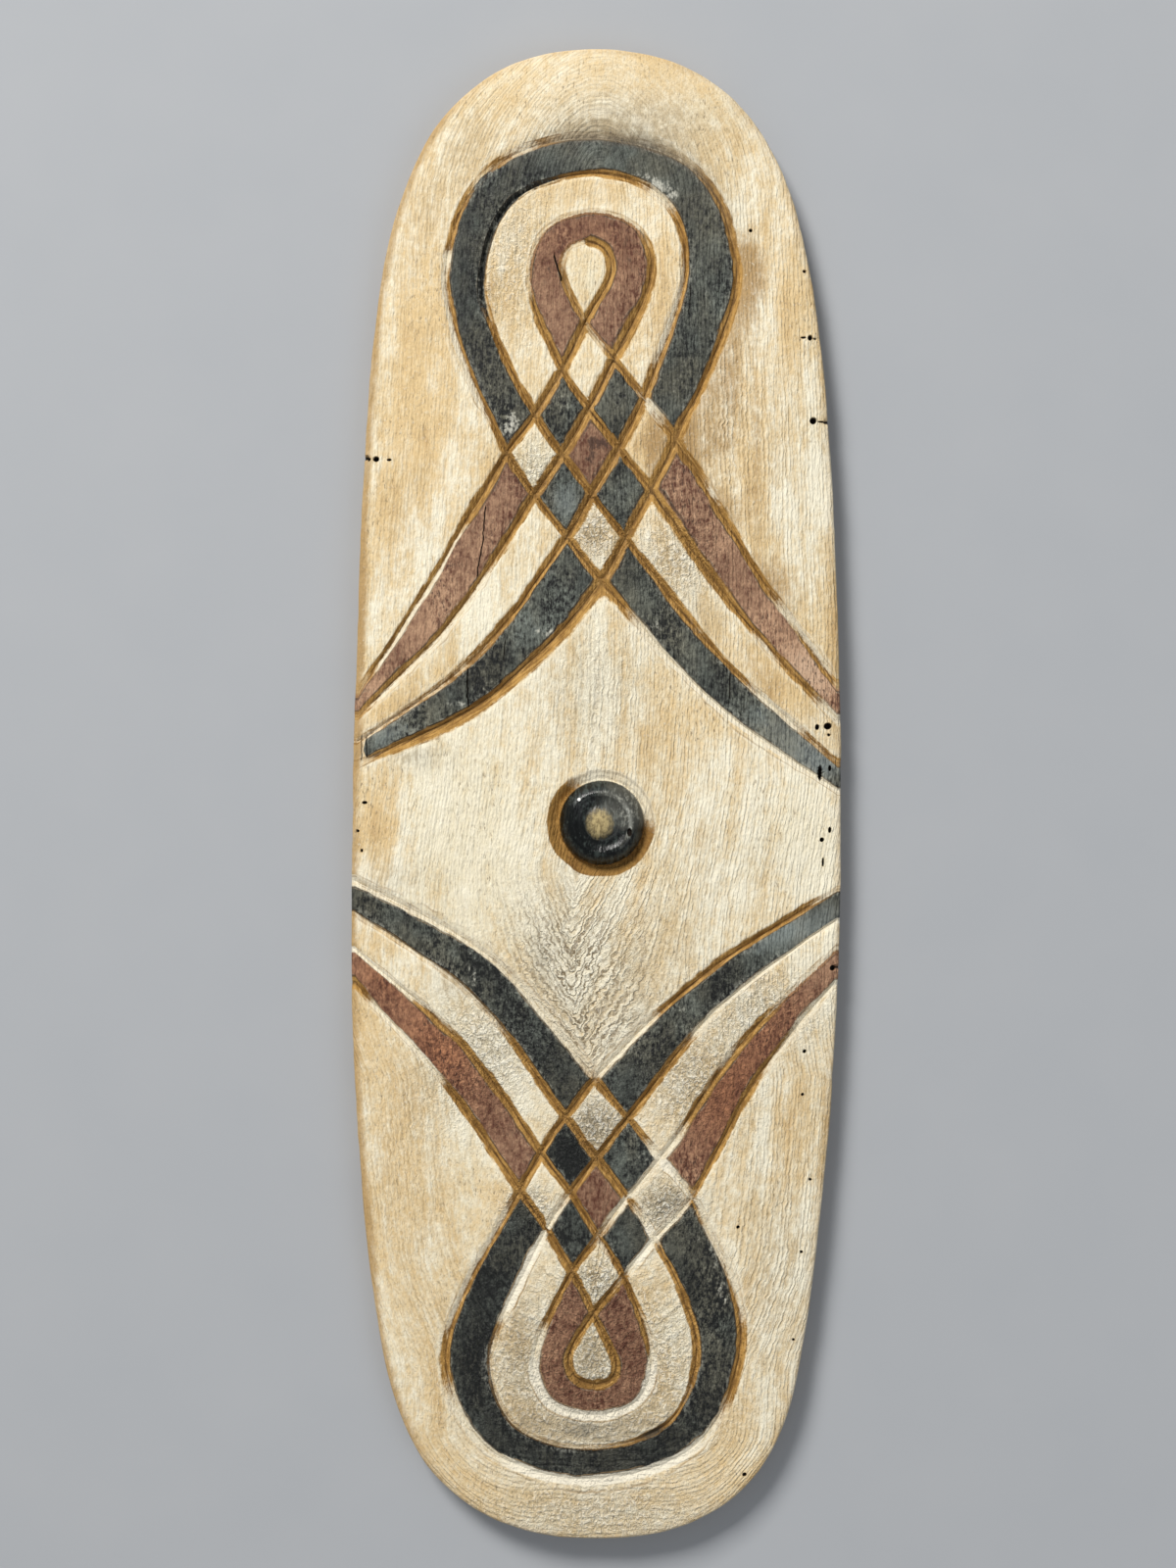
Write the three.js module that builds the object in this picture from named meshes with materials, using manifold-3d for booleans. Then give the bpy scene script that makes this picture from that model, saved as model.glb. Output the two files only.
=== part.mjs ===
// A long oval shield, carved from one board: crowned face, plaited loops cut
// with V grooves at both ends, a round boss standing in a sunk ring, and a
// shallow hollowed back with a flat rim that it lies on.
// Millimetres. +X to the right of the face, +Y to its upper end, +Z out of it.

import * as THREE from 'three';
import { mergeVertices } from 'three/addons/utils/BufferGeometryUtils.js';
import Module from 'manifold-3d';

// ---- board outline --------------------------------------------------------
const HALF_BREADTH = 112.6; // at the widest place
const WIDEST_Y = -41.8; // height of the widest place
const UPPER_TIP_Y = 342.7;
const LOWER_TIP_Y = -342.2;
const UPPER_END = { taper: 0.173, square: 8.18, round: 2.27 };
const LOWER_END = { taper: 0.26, square: 11.2, round: 2.15 };
const SWAY = [0.5, 3.0, -4.5, -3.2, 4.7]; // hand-cut bend of the midline, powers of y

// ---- board section --------------------------------------------------------
const EDGE_THICKNESS = 11; // at the thinnest corners
const CROWN_ACROSS = 4.5; // rise of the face over its breadth
const CROWN_ALONG = 3.5; // rise of the face over its length
const BACK_RIM = 16; // breadth of the flat rim behind
const BACK_HOLLOW = 4; // depth of the hollow behind
const FRONT_ARRIS = 3; // rounding of the front edge
const BACK_ARRIS = 2.5; // rounding of the back edge
const OUTLINE_STEPS = 96;
const CROWN_GRID = [8, 14]; // facets of the crowned face, across and along

// ---- cuts -----------------------------------------------------------------
const GROOVE_HALF = 1.9; // half width of a V groove at the face
const GROOVE_DEPTH = 1.8;
const GROOVE_OVER = 1.2; // how far a cutter stands above the face
const GROOVE_STEP = [16, 14, 12, 8]; // spacing of stations, outer to inner line
const RUN_OUT = 9; // grooves run off the edge by this much

// ---- boss -----------------------------------------------------------------
const BOSS_CENTRE = [2.7, -12.8];
const BOSS_RADIUS = 19.4;
const BOSS_RISE = 6.5; // top above the face
const RING_RADIUS = 25.6; // outer edge of the sunk ring
const RING_DEPTH = 2.6;
const ROUND_STEPS = 32;

// ---- plaits ---------------------------------------------------------------
// Each plait is four parallel lines that run in from the left edge, cross
// themselves in a lattice, go round a loop, cross again and run out to the
// right edge. corners: lattice crossings 1-1, 4-1, 1-4 and 4-4. rising and
// falling: where lines 2 and 3 divide its sides. bulge: bow of those sides.
// Per line, outer to inner: heights at the left and right edge, bow of each
// arm, both flanks of the loop and its crown.
const PLAITS = [
  {
    downward: false,
    corners: [[2.8, 97.9], [36.5, 162.8], [-40.8, 156.8], [-4.7, 216.9]],
    rising: [0, 0.309, 0.65, 1],
    falling: [0, 0.353, 0.682, 1],
    bulge: [1.27, 0.12, -0.62, -2.25],
    lines: [
      { left: 13.8, right: 1.2, bowL: -11.9, bowR: -7.4, flankL: [-68.8, 237.2], flankR: [64.5, 238.9], crown: [-2.4, 302.0] },
      { left: 23.1, right: 14.1, bowL: -10.1, bowR: -5.8, flankL: [-52.5, 235.3], flankR: [41.5, 245.6], crown: [-0.7, 285.3] },
      { left: 34.4, right: 33.7, bowL: -6.4, bowR: -4.5, flankL: [-30.8, 237.1], flankR: [25.6, 241.3], crown: [-1.8, 267.5] },
      { left: 43.4, right: 47.9, bowL: -1.3, bowR: -1.7, flankL: [-15.3, 241.0], flankR: [7.3, 240.6], crown: [-3.7, 253.6] },
    ],
  },
  {
    downward: true,
    corners: [[-0.5, -130.1], [-34.7, -181.2], [43.9, -184.6], [-1.3, -238.1]],
    rising: [0, 0.36, 0.683, 1],
    falling: [0, 0.335, 0.678, 1],
    bulge: [0.19, 1.38, -1.57, -0.71],
    lines: [
      { left: -39.4, right: -43.2, bowL: 12.6, bowR: 7.0, flankL: [-68.8, -258.1], flankR: [66.6, -246.5], crown: [-1.3, -314.3] },
      { left: -53.8, right: -56.4, bowL: 10.4, bowR: 8.2, flankL: [-48.8, -261.7], flankR: [46.3, -255.3], crown: [-2.3, -299.7] },
      { left: -71.0, right: -69.3, bowL: 7.4, bowR: 5.8, flankL: [-28.6, -260.6], flankR: [25.6, -260.6], crown: [-0.5, -284.9] },
      { left: -86.1, right: -83.9, bowL: 3.4, bowR: 5.6, flankL: [-12.4, -259.1], flankR: [9.6, -262.0], crown: [-0.4, -270.9] },
    ],
  },
];
const LOOP_ROUNDNESS = 2.25; // superellipse power of the loops
const ARM_LEFT_X = -111.2; // where the line heights at the edges are given
const ARM_RIGHT_X = 112.0;

const WOOD = { color: 0xd8c49c, roughness: 0.85, metalness: 0 };

// ---- outline and face -----------------------------------------------------
const HALF_LENGTH = (UPPER_TIP_Y - LOWER_TIP_Y) / 2;

function halfBreadth(y) {
  const up = y >= WIDEST_Y;
  const end = up ? UPPER_END : LOWER_END;
  const t = Math.min(1, Math.abs(y - WIDEST_Y) / Math.abs((up ? UPPER_TIP_Y : LOWER_TIP_Y) - WIDEST_Y));
  return HALF_BREADTH * (1 - end.taper * t * t) * Math.pow(Math.max(0, 1 - Math.pow(t, end.square)), 1 / end.round);
}

function midline(y) {
  const s = y / HALF_LENGTH;
  return SWAY.reduce((sum, c, power) => sum + c * Math.pow(s, power), 0);
}

// turn runs round the board from the right-hand side, anticlockwise
function rawOutline(turn) {
  const rise = Math.sin(turn);
  const y = WIDEST_Y + rise * (rise >= 0 ? UPPER_TIP_Y - WIDEST_Y : WIDEST_Y - LOWER_TIP_Y);
  const side = Math.cos(turn) >= 0 ? 1 : -1;
  return [midline(y) + side * halfBreadth(y), y];
}

// the middle of the board's box, which becomes the origin
const box = { x: [Infinity, -Infinity], y: [LOWER_TIP_Y, UPPER_TIP_Y] };
for (let i = 0; i < 1440; i += 1) {
  const [x] = rawOutline((i / 720) * Math.PI);
  box.x = [Math.min(box.x[0], x), Math.max(box.x[1], x)];
}
const MIDDLE = [(box.x[0] + box.x[1]) / 2, (box.y[0] + box.y[1]) / 2];
const HALF_BOX = [(box.x[1] - box.x[0]) / 2, (box.y[1] - box.y[0]) / 2];
const centred = ([x, y]) => new THREE.Vector2(x - MIDDLE[0], y - MIDDLE[1]);

function outline(turn) {
  return centred(rawOutline(turn));
}

function inward(turn) {
  const a = outline(turn - 0.01);
  const b = outline(turn + 0.01);
  return new THREE.Vector2(-(b.y - a.y), b.x - a.x).normalize();
}

function faceHeight(x, y) {
  const across = Math.min(1, (x / HALF_BOX[0]) ** 2);
  const along = Math.min(1, (y / HALF_BOX[1]) ** 2);
  return EDGE_THICKNESS + CROWN_ACROSS * (1 - across) + CROWN_ALONG * (1 - along);
}

// ---- solids ---------------------------------------------------------------
const wasm = await Module();
wasm.setup();

function solid(geometry) {
  const bare = geometry.clone();
  bare.deleteAttribute('normal');
  bare.deleteAttribute('uv');
  const merged = mergeVertices(bare, 1e-4);
  const at = merged.attributes.position.array;
  const index = Array.from(merged.index.array);
  const tris = [];
  let volume = 0;
  for (let i = 0; i < index.length; i += 3) {
    const [a, b, c] = [index[i], index[i + 1], index[i + 2]];
    if (a === b || b === c || a === c) continue;
    tris.push([a, b, c]);
    const [p, q, r] = [a, b, c].map((k) => new THREE.Vector3().fromArray(at, 3 * k));
    volume += p.dot(q.cross(r)) / 6;
  }
  const turned = volume < 0 ? tris.map(([a, b, c]) => [a, c, b]) : tris;
  return new wasm.Manifold(new wasm.Mesh({
    numProp: 3,
    vertProperties: new Float32Array(at),
    triVerts: new Uint32Array(turned.flat()),
  }));
}

// The blank: a lathe-like stack of rings, each the outline drawn in by inset,
// then scaled towards the middle, from the back's centre round to the front
// edge. It is roofed high over the face, which the crowned block cuts to form.
const RINGS = [
  { inset: BACK_RIM, scale: 0, z: () => BACK_HOLLOW },
  { inset: BACK_RIM, scale: 0.5, z: () => BACK_HOLLOW },
  { inset: BACK_RIM, scale: 0.84, z: () => BACK_HOLLOW * 0.72 },
  { inset: BACK_RIM, scale: 1, z: () => 0 },
  { inset: BACK_ARRIS, scale: 1, z: () => 0 },
  { inset: BACK_ARRIS * 0.3, scale: 1, z: () => BACK_ARRIS * 0.3 },
  { inset: 0, scale: 1, z: () => BACK_ARRIS },
  { inset: 0, scale: 1, z: (face) => face - FRONT_ARRIS },
  { inset: FRONT_ARRIS * 0.3, scale: 1, z: (face) => face - FRONT_ARRIS * 0.3 },
  { inset: FRONT_ARRIS, scale: 1, z: (face) => face },
  { inset: FRONT_ARRIS, scale: 0, z: (face) => face + 40 },
];

function blankGeometry() {
  const profile = RINGS.map((ring, j) => new THREE.Vector2(ring.scale === 0 ? 0 : ring.scale, j));
  const geometry = new THREE.LatheGeometry(profile, OUTLINE_STEPS);
  const at = geometry.attributes.position;
  for (let i = 0; i <= OUTLINE_STEPS; i += 1) {
    const turn = ((i % OUTLINE_STEPS) / OUTLINE_STEPS) * 2 * Math.PI;
    const edge = outline(turn);
    const inwards = inward(turn);
    RINGS.forEach((ring, j) => {
      const p = edge.clone().addScaledVector(inwards, ring.inset).multiplyScalar(ring.scale);
      at.setXYZ(i * RINGS.length + j, p.x, p.y, ring.z(faceHeight(p.x, p.y)));
    });
  }
  return geometry;
}

// the crowned block: its top is the board's face, a hair under the front edge
function crownGeometry() {
  const [wide, long] = CROWN_GRID;
  const high = 80;
  const geometry = new THREE.BoxGeometry(2 * HALF_BOX[0] + 20, 2 * HALF_BOX[1] + 20, high, wide, long, 1);
  const at = geometry.attributes.position;
  for (let i = 0; i < at.count; i += 1) {
    const top = at.getZ(i) > 0;
    at.setZ(i, top ? faceHeight(at.getX(i), at.getY(i)) - 0.1 : -high);
  }
  return geometry;
}

// ---- groove lines ---------------------------------------------------------
function bowed(a, b, bow, t = 0.5) {
  const d = b.clone().sub(a);
  const n = new THREE.Vector2(d.y, -d.x).normalize();
  return a.clone().addScaledVector(d, t).addScaledVector(n, bow * 4 * t * (1 - t));
}

// sides of a lattice are bowed by the mirrored sense of the drawn frame
function knots(plait) {
  const [c00, c10, c01, c11] = plait.corners.map((p) => new THREE.Vector2(...p));
  const bow = (a, b, amount, t) => bowed(a, b, -amount, t).sub(a.clone().lerp(b, t));
  return plait.rising.map((f) => plait.falling.map((g) => {
    const p = c00.clone().multiplyScalar((1 - f) * (1 - g))
      .addScaledVector(c10, f * (1 - g))
      .addScaledVector(c01, (1 - f) * g)
      .addScaledVector(c11, f * g);
    return p.addScaledVector(bow(c00, c01, plait.bulge[0], g), 1 - f)
      .addScaledVector(bow(c10, c11, plait.bulge[1], g), f)
      .addScaledVector(bow(c00, c10, plait.bulge[2], f), 1 - g)
      .addScaledVector(bow(c01, c11, plait.bulge[3], f), g);
  }));
}

function loopShoulder(flank, crown) {
  const q = Math.pow(0.5, 1 / LOOP_ROUNDNESS);
  return new THREE.Vector2(crown.x + (flank.x - crown.x) * q, flank.y + (crown.y - flank.y) * q);
}

// stations of one line, from its left foot to its right foot
function lineStations(plait, k) {
  const net = knots(plait);
  const line = plait.lines[k];
  const order = [0, 1, 2, 3];
  const back = [3, 2, 1, 0];
  const climb = (i) => (plait.downward ? net[k][i] : net[i][k]);
  const fall = (i) => (plait.downward ? net[i][k] : net[k][i]);
  const footL = new THREE.Vector2(ARM_LEFT_X, line.left);
  const footR = new THREE.Vector2(ARM_RIGHT_X, line.right);
  const flankL = new THREE.Vector2(...line.flankL);
  const flankR = new THREE.Vector2(...line.flankR);
  const crown = new THREE.Vector2(...line.crown);
  const runOut = (foot, towards) => foot.clone().add(foot.clone().sub(towards).setLength(RUN_OUT));
  const armL = bowed(footL, climb(0), -line.bowL);
  const armR = bowed(fall(0), footR, -line.bowR);
  return {
    firstHalf: [runOut(footL, armL), footL, armL, ...order.map(climb), flankR, loopShoulder(flankR, crown), crown],
    secondHalf: [crown, loopShoulder(flankL, crown), flankL, ...back.map(fall), armR, footR, runOut(footR, armR)],
  };
}

// a V cutter swept along half a line, its ridge GROOVE_DEPTH under the face
function grooveCutter(points, step, shade) {
  const flat = new THREE.CatmullRomCurve3(points.map((p) => new THREE.Vector3(p.x - MIDDLE[0], p.y - MIDDLE[1], 0)), false, 'centripetal');
  const steps = Math.round(flat.getLength() / step);
  const onFace = flat.getSpacedPoints(steps).map((p) => new THREE.Vector3(p.x, p.y, faceHeight(p.x, p.y)));
  const path = new THREE.CatmullRomCurve3(onFace, false, 'centripetal');
  // the section's x axis points into the board
  const half = GROOVE_HALF * shade;
  const depth = GROOVE_DEPTH * shade;
  const wide = (half * (depth + GROOVE_OVER)) / depth;
  const section = new THREE.Shape([
    new THREE.Vector2(depth, 0),
    new THREE.Vector2(-GROOVE_OVER, wide),
    new THREE.Vector2(-GROOVE_OVER, -wide),
  ]);
  return solid(new THREE.ExtrudeGeometry(section, { steps, extrudePath: path, bevelEnabled: false }));
}

// The two halves of a line meet at the crown of its loop, so each is carried
// one station past it, and no half crosses itself.
function lineCutters(plait, k) {
  const { firstHalf, secondHalf } = lineStations(plait, k);
  const past = (half, from, at) => half[at].clone().add(half[at].clone().sub(from).setLength(3));
  const first = [...firstHalf, past(firstHalf, new THREE.Vector2(firstHalf.at(-1).x + 1, firstHalf.at(-1).y), firstHalf.length - 1)];
  const second = [past(secondHalf, new THREE.Vector2(secondHalf[0].x - 1, secondHalf[0].y), 0), ...secondHalf];
  return [grooveCutter(first, GROOVE_STEP[k], 1), grooveCutter(second, GROOVE_STEP[k], 0.985)];
}

// ---- boss -----------------------------------------------------------------
const bossAt = centred(BOSS_CENTRE);
const bossFace = faceHeight(bossAt.x, bossAt.y);

function turned(profile) {
  const geometry = new THREE.LatheGeometry(profile.map(([r, z]) => new THREE.Vector2(r, z)), ROUND_STEPS);
  geometry.rotateX(Math.PI / 2);
  geometry.translate(bossAt.x, bossAt.y, bossFace);
  return geometry;
}

function ringCutter() {
  return solid(turned([
    [BOSS_RADIUS - 3, -RING_DEPTH],
    [BOSS_RADIUS + 1, -RING_DEPTH],
    [RING_RADIUS - 1.4, -RING_DEPTH * 0.55],
    [RING_RADIUS, 0],
    [RING_RADIUS + 0.6, GROOVE_OVER],
    [BOSS_RADIUS - 3, GROOVE_OVER],
    [BOSS_RADIUS - 3, -RING_DEPTH],
  ]));
}

function bossSolid() {
  const shoulder = [];
  for (let i = 0; i <= 4; i += 1) {
    const a = (i / 4) * 0.5 * Math.PI;
    shoulder.push([BOSS_RADIUS - 6 + 6 * Math.cos(a), BOSS_RISE - 4.3 + 4 * Math.sin(a)]);
  }
  return solid(turned([
    [0, -RING_DEPTH - 1],
    [BOSS_RADIUS, -RING_DEPTH - 1],
    ...shoulder,
    [BOSS_RADIUS * 0.45, BOSS_RISE - 0.7],
    [BOSS_RADIUS * 0.22, BOSS_RISE],
    [0, BOSS_RISE + 0.1],
  ]));
}

// ---- assembly -------------------------------------------------------------
let board = solid(blankGeometry()).intersect(solid(crownGeometry()));
for (const plait of PLAITS) {
  for (let k = 0; k < plait.lines.length; k += 1) {
    for (const cutter of lineCutters(plait, k)) board = board.subtract(cutter);
  }
}
board = board.subtract(ringCutter()).add(bossSolid());

const carved = board.getMesh();
const carvedGeometry = new THREE.BufferGeometry();
carvedGeometry.setAttribute('position', new THREE.BufferAttribute(new Float32Array(carved.vertProperties), 3));
carvedGeometry.setIndex(new THREE.BufferAttribute(new Uint32Array(carved.triVerts), 1));
carvedGeometry.computeVertexNormals();

const shield = new THREE.Group();
const shieldBoard = new THREE.Mesh(carvedGeometry, new THREE.MeshStandardMaterial(WOOD));
shieldBoard.name = 'shield_board';
shield.add(shieldBoard);

export default shield;
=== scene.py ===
"""A carved and painted oval wooden shield, lying on its back, seen from above.

The board is one mesh: its face is a triangulation drawn along the V cuts, the
boss and the insect holes, its sides are rounded strips and its back is adzed.
Colour comes from distances to the cuts, kept on the points, and from grain
noise in the material. Lengths in the geometry code are millimetres.
"""

import math

import bpy
import numpy as np
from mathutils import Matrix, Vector, kdtree
from mathutils.geometry import delaunay_2d_cdt


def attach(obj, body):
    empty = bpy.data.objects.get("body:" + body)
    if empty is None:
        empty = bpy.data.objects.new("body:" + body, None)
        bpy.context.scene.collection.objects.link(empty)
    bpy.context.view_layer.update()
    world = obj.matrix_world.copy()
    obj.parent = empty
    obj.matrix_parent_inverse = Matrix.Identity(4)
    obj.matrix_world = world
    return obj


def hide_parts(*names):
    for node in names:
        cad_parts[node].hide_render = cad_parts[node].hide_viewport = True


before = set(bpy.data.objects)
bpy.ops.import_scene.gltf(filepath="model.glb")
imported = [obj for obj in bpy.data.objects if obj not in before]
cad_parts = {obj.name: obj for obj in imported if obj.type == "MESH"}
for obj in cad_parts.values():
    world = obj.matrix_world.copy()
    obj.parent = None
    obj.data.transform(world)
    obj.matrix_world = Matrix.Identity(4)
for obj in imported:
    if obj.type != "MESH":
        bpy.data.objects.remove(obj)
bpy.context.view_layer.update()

# --------------------------------------------------------------------------
# sizes of the board, as in the solid
# --------------------------------------------------------------------------
HALF_BREADTH = 112.6
WIDEST_Y = -41.8
UPPER_TIP_Y = 342.7
LOWER_TIP_Y = -342.2
UPPER_END = (0.173, 8.18, 2.27)
LOWER_END = (0.26, 11.2, 2.15)
SWAY = (0.5, 3.0, -4.5, -3.2, 4.7)
EDGE_THICKNESS = 11.0
CROWN_ACROSS = 4.5
CROWN_ALONG = 3.5
BACK_RIM = 16.0
BACK_HOLLOW = 4.0
ARRIS = 1.7
BACK_ARRIS = 2.4
BOSS_CENTRE = (2.7, -12.8)
BOSS_RADIUS = 19.4
RING_CENTRE = (2.3, -12.8)
RING_RADIUS = 25.2
RING_DEPTH = 2.6
LOOP_ROUNDNESS = 2.25
ARM_LEFT_X = -111.2
ARM_RIGHT_X = 112.0
RUN_OUT = 9.0

PLAITS = [
    dict(
        downward=False,
        corners=[(2.8, 97.9), (36.5, 162.8), (-40.8, 156.8), (-4.7, 216.9)],
        rising=(0, 0.309, 0.65, 1), falling=(0, 0.353, 0.682, 1),
        bulge=(1.27, 0.12, -0.62, -2.25),
        lines=[  # heights at the edges, bows of the arms, flanks, crown
            (13.8, 1.2, -11.9, -7.4, (-68.8, 237.2), (64.5, 238.9), (-2.4, 302.0)),
            (23.1, 14.1, -10.1, -5.8, (-52.5, 235.3), (41.5, 245.6), (-0.7, 285.3)),
            (34.4, 33.7, -6.4, -4.5, (-30.8, 237.1), (25.6, 241.3), (-1.8, 267.5)),
            (43.4, 47.9, -1.3, -1.7, (-15.3, 241.0), (7.3, 240.6), (-3.7, 253.6)),
        ],
    ),
    dict(
        downward=True,
        corners=[(-0.5, -130.1), (-34.7, -181.2), (43.9, -184.6), (-1.3, -238.1)],
        rising=(0, 0.36, 0.683, 1), falling=(0, 0.335, 0.678, 1),
        bulge=(0.19, 1.38, -1.57, -0.71),
        lines=[
            (-39.4, -43.2, 12.6, 7.0, (-68.8, -258.1), (66.6, -246.5), (-1.3, -314.3)),
            (-53.8, -56.4, 10.4, 8.2, (-48.8, -261.7), (46.3, -255.3), (-2.3, -299.7)),
            (-71.0, -69.3, 7.4, 5.8, (-28.6, -260.6), (25.6, -260.6), (-0.5, -284.9)),
            (-86.1, -83.9, 3.4, 5.6, (-12.4, -259.1), (9.6, -262.0), (-0.4, -270.9)),
        ],
    ),
]


# --------------------------------------------------------------------------
# small numeric helpers
# --------------------------------------------------------------------------
def smooth(x, lo, hi):
    t = np.clip((x - lo) / (hi - lo), 0, 1)
    return t * t * (3 - 2 * t)


def lattice(ix, iy, seed):
    n = (ix.astype(np.int64) * 374761393 + iy.astype(np.int64) * 668265263 + seed * 974711) & 0xFFFFFFFF
    n = ((n ^ (n >> 13)) * 1274126177) & 0xFFFFFFFF
    n = n ^ (n >> 16)
    return (n & 0xFFFFFF) / float(0xFFFFFF) * 2 - 1


def rough(x, y, seed):
    """Smooth value noise from -1 to 1, one bump a unit."""
    x, y = np.asarray(x, float), np.asarray(y, float)
    ix, iy = np.floor(x), np.floor(y)
    fx, fy = x - ix, y - iy
    ux, uy = fx**3 * (fx * (6 * fx - 15) + 10), fy**3 * (fy * (6 * fy - 15) + 10)
    a, b = lattice(ix, iy, seed), lattice(ix + 1, iy, seed)
    c, d = lattice(ix, iy + 1, seed), lattice(ix + 1, iy + 1, seed)
    return (a * (1 - ux) + b * ux) * (1 - uy) + (c * (1 - ux) + d * ux) * uy


# --------------------------------------------------------------------------
# outline and crown
# --------------------------------------------------------------------------
def half_breadth(y):
    up = y >= WIDEST_Y
    span = np.where(up, UPPER_TIP_Y - WIDEST_Y, WIDEST_Y - LOWER_TIP_Y)
    t = np.minimum(1, np.abs(y - WIDEST_Y) / span)
    taper, square, rnd = (np.where(up, a, b) for a, b in zip(UPPER_END, LOWER_END))
    return HALF_BREADTH * (1 - taper * t * t) * np.maximum(0, 1 - t**square) ** (1 / rnd)


def midline(y):
    s = y / ((UPPER_TIP_Y - LOWER_TIP_Y) / 2)
    return sum(c * s**k for k, c in enumerate(SWAY))


def raw_outline(turn):
    rise = np.sin(turn)
    y = WIDEST_Y + rise * np.where(rise >= 0, UPPER_TIP_Y - WIDEST_Y, WIDEST_Y - LOWER_TIP_Y)
    return np.stack([midline(y) + np.where(np.cos(turn) >= 0, 1, -1) * half_breadth(y), y], 1)


_all = raw_outline(np.linspace(0, 2 * math.pi, 1441)[:-1])
MIDDLE = np.array([(_all[:, 0].min() + _all[:, 0].max()) / 2, (UPPER_TIP_Y + LOWER_TIP_Y) / 2])
HALF_BOX = np.array([(_all[:, 0].max() - _all[:, 0].min()) / 2, (UPPER_TIP_Y - LOWER_TIP_Y) / 2])


def ring_points(count):
    """Points evenly round the outline, with the normals that point out of it."""
    fine = raw_outline(np.linspace(0, 2 * math.pi, 6001)) - MIDDLE
    s = np.concatenate([[0], np.cumsum(np.hypot(*np.diff(fine, axis=0).T))])
    at = np.linspace(0, s[-1], count, endpoint=False)
    p = np.stack([np.interp(at, s, fine[:, 0]), np.interp(at, s, fine[:, 1])], 1)
    t = np.roll(p, -3, 0) - np.roll(p, 3, 0)
    t /= np.hypot(t[:, 0], t[:, 1])[:, None]
    return p, np.stack([t[:, 1], -t[:, 0]], 1), at, s[-1]


def crown(x, y):
    across = np.minimum(1, (x / HALF_BOX[0]) ** 2)
    along = np.minimum(1, (y / HALF_BOX[1]) ** 2)
    return EDGE_THICKNESS + CROWN_ACROSS * (1 - across) + CROWN_ALONG * (1 - along)


# --------------------------------------------------------------------------
# the plaited lines
# --------------------------------------------------------------------------
def bow_of(a, b, amount, t):
    d = b - a
    n = np.array([-d[1], d[0]]) / np.hypot(*d)
    return n * amount * 4 * t * (1 - t)


def knots(plait):
    c00, c10, c01, c11 = (np.array(c, float) for c in plait["corners"])
    b = plait["bulge"]
    net = {}
    for i, f in enumerate(plait["rising"]):
        for j, g in enumerate(plait["falling"]):
            p = (1 - f) * (1 - g) * c00 + f * (1 - g) * c10 + (1 - f) * g * c01 + f * g * c11
            p = p + (1 - f) * bow_of(c00, c01, b[0], g) + f * bow_of(c10, c11, b[1], g)
            p = p + (1 - g) * bow_of(c00, c10, b[2], f) + g * bow_of(c01, c11, b[3], f)
            net[i, j] = p
    return net


def centripetal(points, per=60):
    q = np.vstack([2 * points[0] - points[1], points, 2 * points[-1] - points[-2]])
    out = []
    for i in range(1, len(q) - 2):
        p0, p1, p2, p3 = q[i - 1], q[i], q[i + 1], q[i + 2]
        t1 = np.hypot(*(p1 - p0)) ** 0.5
        t2 = t1 + np.hypot(*(p2 - p1)) ** 0.5
        t3 = t2 + np.hypot(*(p3 - p2)) ** 0.5
        t = np.linspace(t1, t2, per, endpoint=False)[:, None]
        a1 = (t1 - t) / t1 * p0 + t / t1 * p1
        a2 = (t2 - t) / (t2 - t1) * p1 + (t - t1) / (t2 - t1) * p2
        a3 = (t3 - t) / (t3 - t2) * p2 + (t - t2) / (t3 - t2) * p3
        b1 = (t2 - t) / t2 * a1 + t / t2 * a2
        b2 = (t3 - t) / (t3 - t1) * a2 + (t - t1) / (t3 - t1) * a3
        out.append((t2 - t) / (t2 - t1) * b1 + (t - t1) / (t2 - t1) * b2)
    out.append(q[-2][None])
    return np.vstack(out)


def even(points, step):
    s = np.concatenate([[0], np.cumsum(np.hypot(*np.diff(points, axis=0).T))])
    at = np.linspace(0, s[-1], max(2, int(round(s[-1] / step)) + 1))
    return np.stack([np.interp(at, s, points[:, 0]), np.interp(at, s, points[:, 1])], 1)


def line_halves(plait, k):
    """One line as two curves: from the left foot up to the crown, and from the crown to the right foot."""
    net, (left, right, bow_l, bow_r, flank_l, flank_r, top) = knots(plait), plait["lines"][k]
    climb = [net[k, i] if plait["downward"] else net[i, k] for i in range(4)]
    fall = [net[i, k] if plait["downward"] else net[k, i] for i in range(4)]
    foot_l, foot_r = np.array([ARM_LEFT_X, left]), np.array([ARM_RIGHT_X, right])
    flank_l, flank_r, top = np.array(flank_l), np.array(flank_r), np.array(top)
    q = 0.5 ** (1 / LOOP_ROUNDNESS)
    shoulder = lambda f: np.array([top[0] + (f[0] - top[0]) * q, f[1] + (top[1] - f[1]) * q])
    arm_l = (foot_l + climb[0]) / 2 + bow_of(foot_l, climb[0], bow_l, 0.5)
    arm_r = (foot_r + fall[0]) / 2 + bow_of(fall[0], foot_r, bow_r, 0.5)
    out = lambda foot, arm: foot + (foot - arm) / np.hypot(*(foot - arm)) * RUN_OUT
    stations = [out(foot_l, arm_l), foot_l, arm_l, *climb, flank_r, shoulder(flank_r), top,
                shoulder(flank_l), flank_l, *fall[::-1], arm_r, foot_r, out(foot_r, arm_r)]
    dense = centripetal(np.array(stations))
    cut = 9 * 60  # the crown is the tenth station
    wander = lambda p, seed: p + 0.32 * np.stack([rough(p[:, 0] / 17, p[:, 1] / 17, seed), rough(p[:, 0] / 17, p[:, 1] / 17, seed + 9)], 1)
    return [wander(even(h, 0.5), 40 + k) - MIDDLE for h in (dense[: cut + 1], dense[cut:])]


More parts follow.
